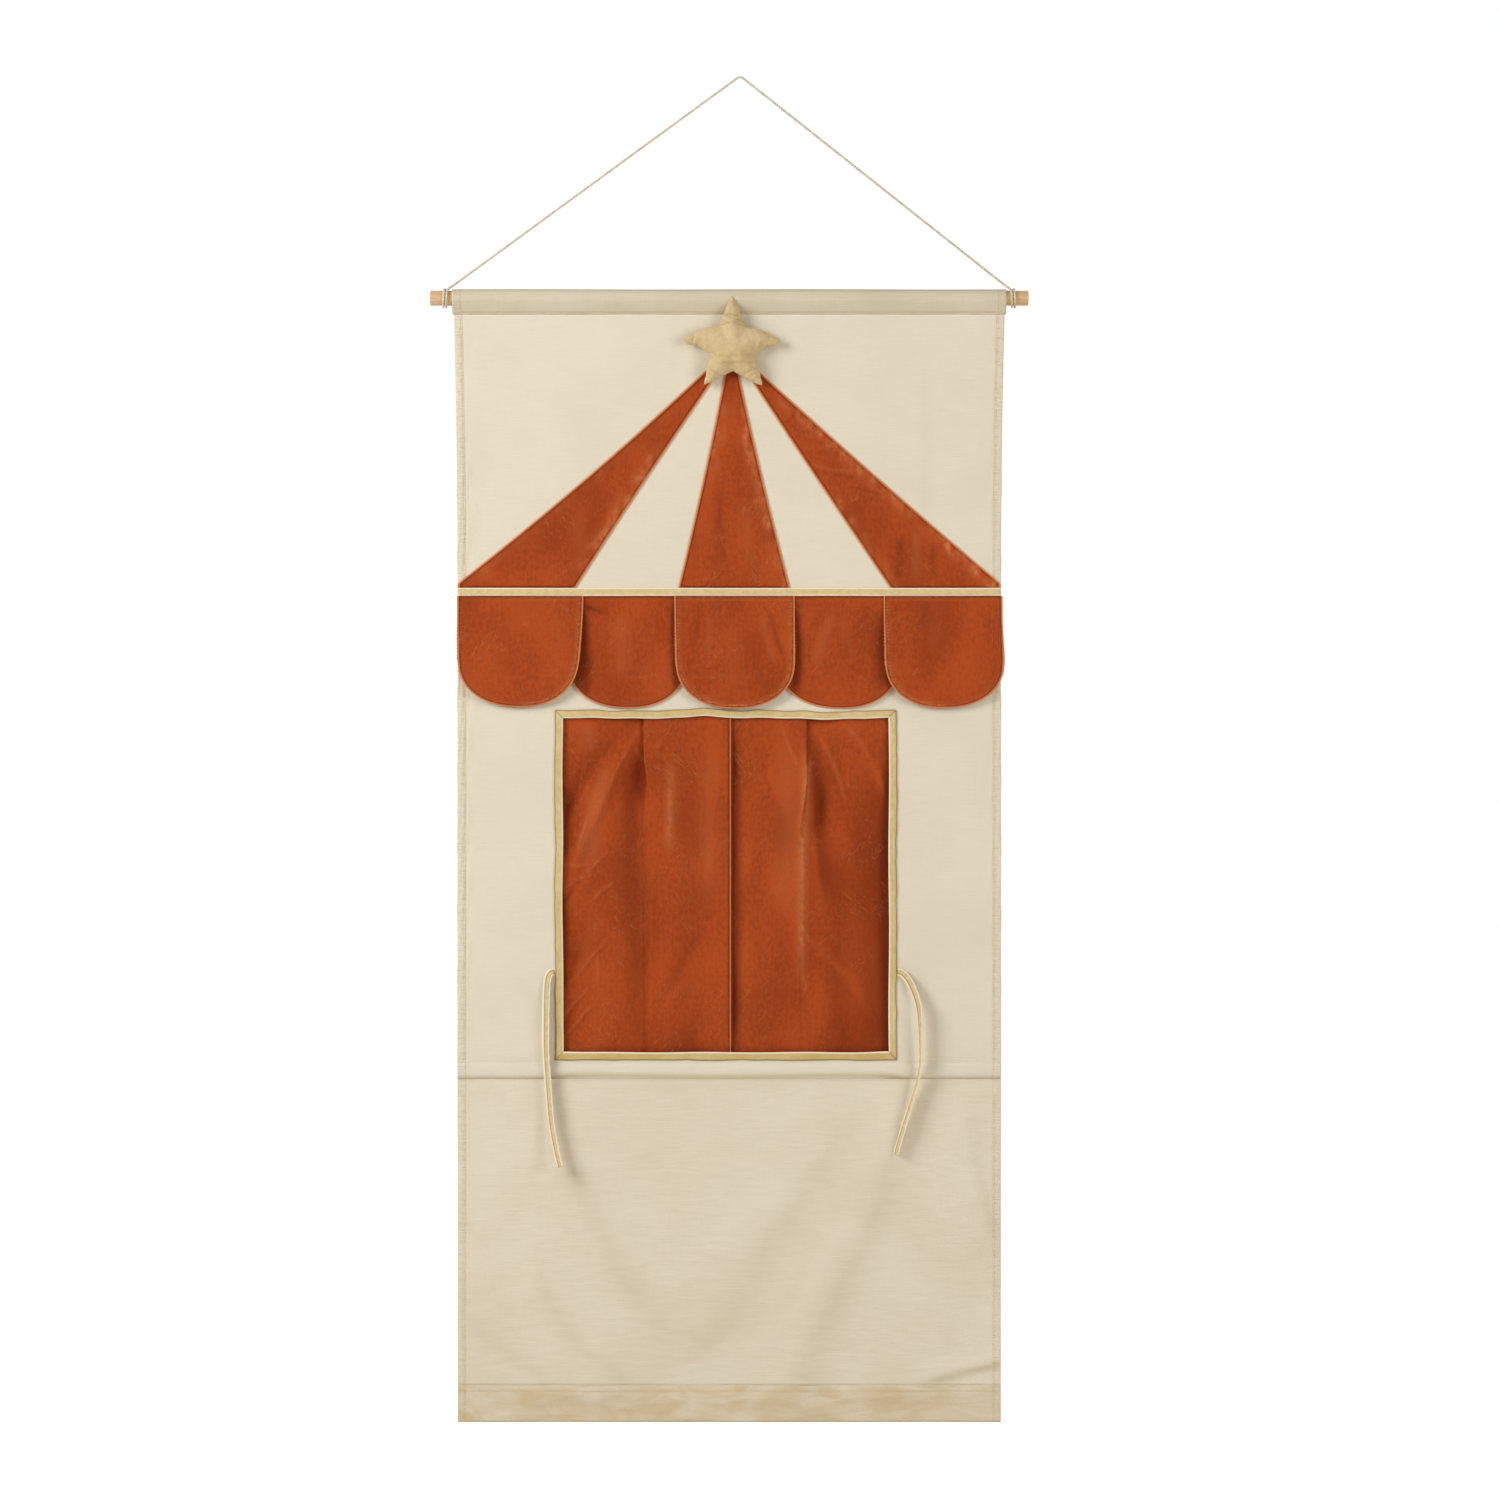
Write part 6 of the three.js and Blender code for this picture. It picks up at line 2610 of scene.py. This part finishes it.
@dataclass
class StuffedStar(SubAssembly):
    """A stuffed velvet star, sewn to the top of the roof."""

    voxel: float = 2.2
    depth_share: float = 0.5
    pressure: float = 4.0
    frames: int = 20
    most_move: float = 6.0
    arms: int = 5
    # Marks of the star's creases: they sink the cloth, and lay painted shade in it; below zero,
    # painted light.
    shade_and_tone_marks: tuple[Crease, ...] = (
        Crease(((-30, -26), (-3, -36), (26, -27)), 1.7, 1),
        Crease(((-32, -21), (-3, -31), (28, -22)), 1.5, 0.85),
        Crease(((-30, -16), (-1, -25.5), (30, -16)), 1.7, 0.7),
        Crease(((-26, -33), (-3, -29), (22, -34)), 1.6, -0.8),
        Crease(((-56, -22), (-51, -5), (-55, 8)), 1.5, 0.95),
        Crease(((-52, -20), (-48, -5), (-52, 8)), 1.5, -0.7),
        Crease(((-40, 18), (0, 21), (42, 17)), 2.4, 0.5),
        Crease(((-36, 24), (0, 27), (38, 24)), 2, -0.5),
        Crease(((-34, 29), (0, 31), (36, 28)), 2, 0.4),
        Crease(((-44, 30), (-26, 39), (-10, 52)), 1.7, 0.7),
        Crease(((-46, 36), (-28, 45), (-14, 58)), 1.6, 0.65),
        Crease(((-44, 33), (-27, 42), (-12, 55)), 1.5, -0.5),
        Crease(((8, 52), (26, 39), (44, 33)), 1.7, 0.7),
        Crease(((12, 56), (30, 44), (46, 39)), 1.6, 0.65),
        Crease(((18, 61), (34, 50), (48, 45)), 1.5, 0.6),
        Crease(((10, 54), (28, 41.5), (45, 36)), 1.4, -0.5),
        Crease(((47, -20), (50, -8), (48, 8)), 1.6, 0.5),
        Crease(((-4, -70), (0, -52), (-2, -40)), 3, -0.5),
    )

    def _slouched(self, spot: Vector, middle: Vector, back: float) -> Vector:
        """Moves a point of the even star to where the worn, soft star has it.

        Args:
            spot: The point.
            middle: The star's middle.
            back: Where the star's flat back lies.

        Returns:
            The moved point.
        """
        x, up = (spot.x - middle.x) / MM, (spot.z - middle.z) / MM
        y = back - (back - spot.y) * self.depth_share
        side = smooth_step(14, 60, abs(x)) * bell(up, 16, 22)
        neck = bell(up, 24, 9) * (1 - side)
        up_arm = smooth_step(14, 34, up) * (1 - side)
        leg = smooth_step(-12, -50, up)
        wide = 1.07 + 0.03 * side - 0.16 * neck - 0.1 * up_arm + 0.04 * leg
        if up > 0:
            up = 19.5 + (up - 19.5) * (1 + 0.5 * smooth_step(38, 58, abs(x)))
        low = 6 * side * smooth_step(20, 60, abs(x))
        high = 3.2 * smooth_step(24, 62, up) * (1 - side)
        return Vector((middle.x + x * wide * MM, y, middle.z + (up * 1.06 - low + high) * MM))

    def _inflate(self, piece: bpy.types.Object) -> None:
        """Blows the sewn shape up as cloth and keeps the result.

        Args:
            piece: The sewn shape.
        """
        cloth = piece.modifiers.new("stuffing", "CLOTH")
        settings = cloth.settings
        settings.quality = 6
        settings.mass = 0.3
        settings.tension_stiffness = 18
        settings.compression_stiffness = 12
        settings.shear_stiffness = 8
        settings.bending_stiffness = 0.35
        settings.use_pressure = True
        settings.uniform_pressure_force = self.pressure
        settings.effector_weights.gravity = 0
        cloth.collision_settings.use_collision = False
        cloth.point_cache.frame_start = 1
        cloth.point_cache.frame_end = self.frames
        scene = bpy.context.scene
        start = [vertex.co.copy() for vertex in piece.data.vertices]
        for frame in range(1, self.frames + 1):
            scene.frame_set(frame)
        shown = piece.evaluated_get(bpy.context.evaluated_depsgraph_get())
        swollen = [vertex.co.copy() for vertex in shown.data.vertices]
        piece.modifiers.remove(cloth)
        scene.frame_set(1)
        for vertex, before, after in zip(piece.data.vertices, start, swollen):
            move = after - before
            if move.length > self.most_move * MM:
                move *= self.most_move * MM / move.length
            vertex.co = before + move

    def build(self) -> None:
        """Makes the star from its sewn shape: remeshed, blown up, seamed and creased."""
        source = bpy.data.objects["star"]
        low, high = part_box("star")
        middle = (low + high) / 2
        shape = bmesh.new()
        shape.from_mesh(source.data)
        bmesh.ops.remove_doubles(shape, verts=shape.verts, dist=1e-5)
        for vertex in shape.verts:
            vertex.co = self._slouched(vertex.co, middle, high.y)
        mesh_data = bpy.data.meshes.new("star_start")
        shape.to_mesh(mesh_data)
        shape.free()
        start = finish_object(mesh_data, "star_start", self.finishes.sand_velvet)
        remesh = start.modifiers.new("voxels", "REMESH")
        remesh.mode = "VOXEL"
        remesh.voxel_size = self.voxel * MM
        shown = start.evaluated_get(bpy.context.evaluated_depsgraph_get())
        even = bpy.data.meshes.new_from_object(shown)
        bpy.data.objects.remove(start)
        star = finish_object(even, "star_stuffed_velvet", self.finishes.sand_velvet)
        self._inflate(star)
        self._detail(star, middle, high.y)
        finer = star.modifiers.new("finer", "SUBSURF")
        finer.levels = finer.render_levels = 1
        settle(star, "banner", "sand_velvet", "star")

    def _detail(self, star: bpy.types.Object, middle: Vector, back: float) -> None:
        """Adds the seam round the edge, the gathers at each arm and the flat back, with a painted
        highlight on the rim where the surface turns aside and painted shade in the creases.

        Args:
            star: The stuffed star.
            middle: Its middle.
            back: Where its flat back lies.
        """
        shape = bmesh.new()
        shape.from_mesh(star.data)
        shape.normal_update()
        edges = shape.verts.layers.float.new(EDGE_LAYER)
        shade_and_tone_marks = shape.verts.layers.float.new(SHADE_AND_TONE_LAYER)
        seam_y = back - (back - middle.y) * self.depth_share
        moves = {}
        for vertex in shape.verts:
            flat = Vector((vertex.co.x - middle.x, vertex.co.z - middle.z)) / MM
            reach = flat.length
            turn = math.atan2(flat.x, flat.y)
            arm = 2 * math.pi / self.arms
            off_arm = abs((turn + arm / 2) % arm - arm / 2) * reach
            from_seam = (vertex.co.y - seam_y) / MM
            seam = bell(from_seam, 0, 1.7)
            gather = math.sin(reach / 1.35 + 0.9 * math.sin(turn * 7)) * bell(reach, 33, 10)
            gather *= 1 - 0.5 * bell(off_arm, 0, 4)
            crumple = noise.noise(Vector((flat.x / 9, flat.y / 9, from_seam / 12)))
            sunk = marked(self.shade_and_tone_marks, flat.x, -flat.y)
            lift = 0.3 * gather + 0.8 * crumple - 0.9 * seam - 1.3 * sunk * max(-vertex.normal.y, 0)
            lift += 0.4 * math.sin(turn * 46) * bell(from_seam, 0, 4.5)
            moves[vertex] = vertex.normal * lift * MM
            # A painted highlight on the rim where the surface turns aside, with a thin line of
            # painted shade inside it; painted shade in the creases.
            vertex[edges] = 0.8 + 26 * max(abs(vertex.normal.y) - 0.3, 0)
            vertex[shade_and_tone_marks] = 0.62 * sunk
        for vertex, move in moves.items():
            vertex.co += move
            vertex.co.y = min(vertex.co.y, back)
        shape.to_mesh(star.data)
        shape.free()
        for polygon in star.data.polygons:
            polygon.use_smooth = True


@dataclass
class Tie(SubAssembly):
    """A folded tape that hangs from the window's edge and ties a drawn curtain back."""

    side: Side
    route: tuple[tuple[float, float, float], ...]
    twists: tuple[float, float, float]
    width: float = 11.0
    thickness: float = 1.6
    frame_pitch: float = 1.9

    def build(self) -> None:
        """Makes the tape with the stitches along its open edge."""
        middle = self.banner.middle
        path = routed([middle + Vector(point) * MM for point in self.route], 12)
        line, total = polyline(path)
        count = int(total / self.frame_pitch)
        start_twist, middle_twist, end_twist = self.twists
        frames = []
        for i in range(count + 1):
            share = i / count
            spot = line(total * share)
            along = (line(total * share + 1.5) - line(total * share - 1.5)).normalized()
            across = along.cross(Vector((0, 1, 0))).normalized()
            if share < 0.5:
                eased = smooth_step(0, 0.5, share)
                twist = start_twist + (middle_twist - start_twist) * eased
            else:
                eased = smooth_step(0.5, 1, share)
                twist = middle_twist + (end_twist - middle_twist) * eased
            across.rotate(Quaternion(along, math.radians(twist)))
            frames.append((spot, across, along.cross(across).normalized()))

        def spot_at(u: float, v: float, lift: float = 0.0) -> Vector:
            """A point of the tape: across it, along it by number, and raised from it."""
            spot, across, out = frames[min(max(round(v), 0), count)]
            away = self.width / 2 - abs(u)
            cup = 0.35 * (u / self.width * 2) ** 2
            ripple = 0.18 * math.sin(v * 0.9 + u) * bell(away, 1, 2)
            raise_by = self.thickness / 2 - 0.3 * bell(away, 0, 0.8) - cup + ripple + lift
            return spot + across * u * MM + out * raise_by * MM

        half = self.width / 2
        word = self.side.name.lower()
        tape = cloth_grid(
            f"tie_{word}_tape",
            places([-half, -half + 1, half - 1, half], [0.35, 0.9, 0.35]),
            numbered(frames),
            spot_at,
            self.finishes.tie_tape,
            edge_at=lambda u, v: half - u + 0.2,
            measure=lambda u, v: Vector((u * MM, -total * v / count * MM, 0)),
        )
        facing = sum((polygon.normal for polygon in tape.data.polygons), Vector())
        outward = sum((frame[2] for frame in frames), Vector())
        if facing.dot(outward) < 0:
            tape.data.flip_normals()
        solidify(tape, self.thickness)

        def seam(distance: float) -> Vector:
            """The long seam's point at a distance along it."""
            return spot_at(half - 1.7, distance / total * count, 0.12)

        def end_seam(distance: float) -> Vector:
            """The end seam's point at a distance across the tape."""
            return spot_at(distance - half + 0.8, count - 2, 0.12)

        runs = [
            stitches_along(seam, total - 2, length=2.4, gap=1),
            stitches_along(end_seam, self.width - 1.6, length=1.6, gap=0.7),
        ]
        stitches = sew(f"tie_{word}_stitches", runs, self.finishes.pale_thread, width=0.55)
        settle(tape, f"tie_{word}", "sand_tape", f"tie_{word}")
        settle(stitches, f"tie_{word}", "sand_tape")


LEFT_TIE_ROUTE = (
    (-234.4, -2, -901),
    (-238.4, -2.8, -901.8),
    (-242.4, -4.4, -908),
    (-244, -6, -919),
    (-244.8, -7, -940),
    (-245.1, -8, -970),
    (-245.1, -8.6, -1002),
    (-243.8, -8.8, -1030),
    (-241.4, -9.2, -1062),
    (-237.8, -10, -1103),
    (-231.7, -12.5, -1137),
    (-225.7, -17, -1161),
)
RIGHT_TIE_ROUTE = (
    (225.2, -2, -902),
    (230, -3, -902.8),
    (239, -6, -912),
    (246.7, -9.5, -928),
    (252.4, -12.4, -947),
    (254.7, -13.6, -973),
    (255.6, -13.8, -1002),
    (255.2, -13.2, -1024),
    (251.8, -11.6, -1045),
    (244.8, -9.6, -1070),
    (236.2, -8, -1098),
    (227.8, -6.4, -1126),
    (222.5, -5.4, -1145),
)
# Each curtain's marks of painted shade: dark bands in its folds and the painted shadow by the
# lapped edge; below zero, painted light.
LEFT_PAINTED_SHADES = (
    Crease(((-124, 570), (-130, 700), (-128, 850), (-122, 990)), 21, 0.5),
    Crease(((-128, 556), (-124, 600), (-130, 650), (-138, 720)), 11, 0.16),
    Crease(((-224, 640), (-222, 700), (-222, 760)), 9, 0.8),
    Crease(((-224, 780), (-222, 860), (-224, 940)), 7, 0.6),
    Crease(((-200, 540), (-186, 590), (-176, 620)), 16, -0.3),
    Crease(((-160, 600), (-182, 700), (-196, 780)), 17, -0.42),
    Crease(((-170, 800), (-190, 860), (-200, 930)), 14, -0.2),
    Crease(((-78, 600), (-79, 680), (-82, 760)), 9, -0.45),
    Crease(((-20, 560), (-30, 700), (-24, 860)), 18, -0.25),
    Crease(((-60, 760), (-66, 900), (-50, 1080)), 26, 0.28),
    Crease(((-240, 1020), (-120, 1006), (20, 1016)), 20, 0.24),
    Crease(((-14, 812), (-48, 868), (-78, 920), (-104, 964)), 6, 0.16),
    Crease(((-234, 706), (-206, 664), (-163, 600), (-146, 566)), 10, 0.4),
)
RIGHT_PAINTED_SHADES = (
    Crease(((114, 540), (113, 620), (116, 680), (130, 830)), 6, 0.62, right_width=18),
    Crease(((196, 560), (200, 720), (196, 1100)), 38, 0.6),
    Crease(((150, 700), (142, 860), (146, 1100)), 22, 0.38),
    Crease(((103, 560), (103, 660), (98, 760), (96, 960)), 8, -0.55),
    Crease(((78, 560), (78, 700), (70, 860)), 18, -0.3),
    Crease(((7, 500), (7, 780), (7, 1080)), 5, 0.9, right_width=9),
    Crease(((140, 552), (176, 594), (198, 634), (212, 680)), 7, -0.3),
    Crease(((112, 566), (134, 610), (150, 650), (158, 690)), 6, -0.34),
    Crease(((100, 850), (132, 884), (164, 912), (190, 962)), 7, -0.16),
    Crease(((30, 900), (60, 990), (90, 1080)), 34, 0.3),
    Crease(((216, 600), (214, 800), (216, 1060)), 9, 0.5),
)
# A crease's fourth value pales the pile along it: worn pile, and on the ridges a painted highlight.
LEFT_CREASES = (
    Crease(((-112, 620), (-104, 700), (-93, 800), (-96, 920), (-106, 1040)), 27, -5),
    Crease(((-135, 640), (-128, 760), (-130, 900)), 13, -1.2),
    Crease(((-114, 548), (-128, 590), (-152, 634), (-197, 733), (-216, 792)), 9, 3.4),
    Crease(((-116, 560), (-130, 592), (-152, 634), (-172, 680)), 2.2, 0.7, 0.5),
    Crease(((-131, 596), (-121, 610), (-111, 625)), 2.2, 0.7, 0.5),
    Crease(((-234, 706), (-206, 664), (-163, 600), (-146, 566)), 11, -3.2),
    Crease(((-236, 812), (-214, 794), (-186, 766)), 6, -2),
    Crease(((-238, 925), (-214, 902), (-196, 868)), 7, -2.2),
    Crease(((-240, 984), (-216, 962), (-190, 925)), 6, -1.6),
    Crease(((-188, 690), (-199, 722), (-204, 748)), 2.2, 0.6, 0.45),
    Crease(((-160, 738), (-190, 768), (-222, 792)), 2.6, 1, 0.5),
    Crease(((-150, 778), (-172, 794), (-190, 813)), 2.6, 0.9, 0.45),
    Crease(((-178, 768), (-198, 778), (-218, 778)), 2, 0.7, 0.5),
    Crease(((-186, 757), (-204, 760), (-224, 757)), 2, 0.7, 0.4),
    Crease(((-160, 858), (-184, 880), (-204, 908)), 2.6, 1.1, 0.4),
    Crease(((-188, 924), (-206, 942), (-226, 962)), 2.2, 1, 0.5),
    Crease(((-180, 942), (-198, 962), (-220, 988)), 2.2, 1, 0.5),
    Crease(((-179, 832), (-176, 850), (-178, 862)), 2, 0.6, 0.4),
    Crease(((-177, 880), (-176, 900), (-177, 922)), 1.8, 0.5, 0.45),
    Crease(((-206, 812), (-190, 840), (-158, 860)), 9, 1.6),
    Crease(((-14, 812), (-48, 868), (-78, 920), (-104, 964)), 6.5, -1.3),
    Crease(((-8, 836), (-40, 884), (-68, 934), (-92, 980)), 7, 0.9),
    Crease(((-58, 548), (-72, 580), (-96, 622)), 4.5, -1.5),
    Crease(((-68, 548), (-84, 584), (-104, 612)), 4.5, 1.3),
    Crease(((-80, 650), (-79, 690), (-82, 730)), 5, 1, 0.42, 3.2),
    Crease(((-52, 690), (-60, 780), (-58, 850)), 16, 1.6),
    Crease(((-30, 640), (-24, 690), (-30, 760)), 8, -1),
)
RIGHT_CREASES = (
    Crease(((101, 540), (103, 622), (102, 672), (98, 735), (96, 822), (97, 960)), 11, 4.2),
    Crease(((101, 590), (104, 640), (101, 700), (98, 760), (96, 800)), 4.5, 0.8, 0.34, 6),
    Crease(((103, 610), (105, 650), (103, 700)), 2.4, 0.5, 0.4, 3),
    Crease(((128, 590), (124, 680), (122, 760), (126, 860)), 12, -2.6),
    Crease(((110, 566), (134, 610), (150, 650), (158, 690)), 5, 2.2, 0.25),
    Crease(((118, 560), (146, 600), (166, 648)), 4.5, -1.6),
    Crease(((140, 552), (176, 594), (198, 634), (212, 680)), 6, 2, 0.2),
    Crease(((156, 552), (188, 590), (210, 622)), 5, -1.4),
    Crease(((66, 556), (80, 600), (99, 640)), 2.6, 1.2, 0.45),
    Crease(((72, 552), (88, 596), (104, 622)), 3.6, -1.2),
    Crease(((100, 850), (132, 884), (164, 912), (190, 962)), 8, 1.3, 0.08, 4),
    Crease(((104, 876), (136, 910), (160, 950)), 8, -1.1),
    Crease(((92, 822), (100, 846), (116, 870)), 2.2, 0.8, 0.45),
    Crease(((94, 836), (96, 856), (104, 872)), 2, 0.7, 0.4),
    Crease(((158, 800), (178, 832), (198, 862)), 6, 1.6),
    Crease(((134, 948), (146, 976), (150, 1010)), 5, 1.4),
    Crease(((98, 905), (104, 920), (100, 934)), 2.2, 0.7, 0.4),
    Crease(((44, 604), (52, 640), (66, 668)), 5, -1.3),
    Crease(((66, 668), (60, 760), (66, 840)), 12, 1.5),
    Crease(((20, 700), (34, 820), (30, 940)), 14, 1.3),
    Crease(((218, 690), (206, 800), (212, 940)), 16, -1.8),
)


def main() -> None:
    """Builds the studio and dresses each sub-assembly in turn."""
    logging.basicConfig(level=logging.INFO, format="%(name)s: %(message)s")
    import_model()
    Studio().build()
    finishes = Finishes()
    banner = Banner()
    Hanger(finishes, banner).build()
    RodSleeve(finishes, banner).build()
    FrontPanel(finishes, banner).build()
    TentRoof(finishes, banner).build()
    Valance(finishes, banner).build()
    WindowBinding(finishes, banner).build()
    Curtain(finishes, banner, Side.LEFT, 0.528, 0.36, 0.2, LEFT_CREASES, LEFT_PAINTED_SHADES).build()
    Curtain(finishes, banner, Side.RIGHT, 0.54, 0.44, 0.75, RIGHT_CREASES, RIGHT_PAINTED_SHADES).build()
    Sill(finishes, banner).build()
    Skirt(finishes, banner).build()
    StuffedStar(finishes, banner).build()
    Tie(finishes, banner, Side.LEFT, LEFT_TIE_ROUTE, (20, 34, 40)).build()
    Tie(finishes, banner, Side.RIGHT, RIGHT_TIE_ROUTE, (10, 74, 52)).build()


if __name__ == "__main__":
    main()
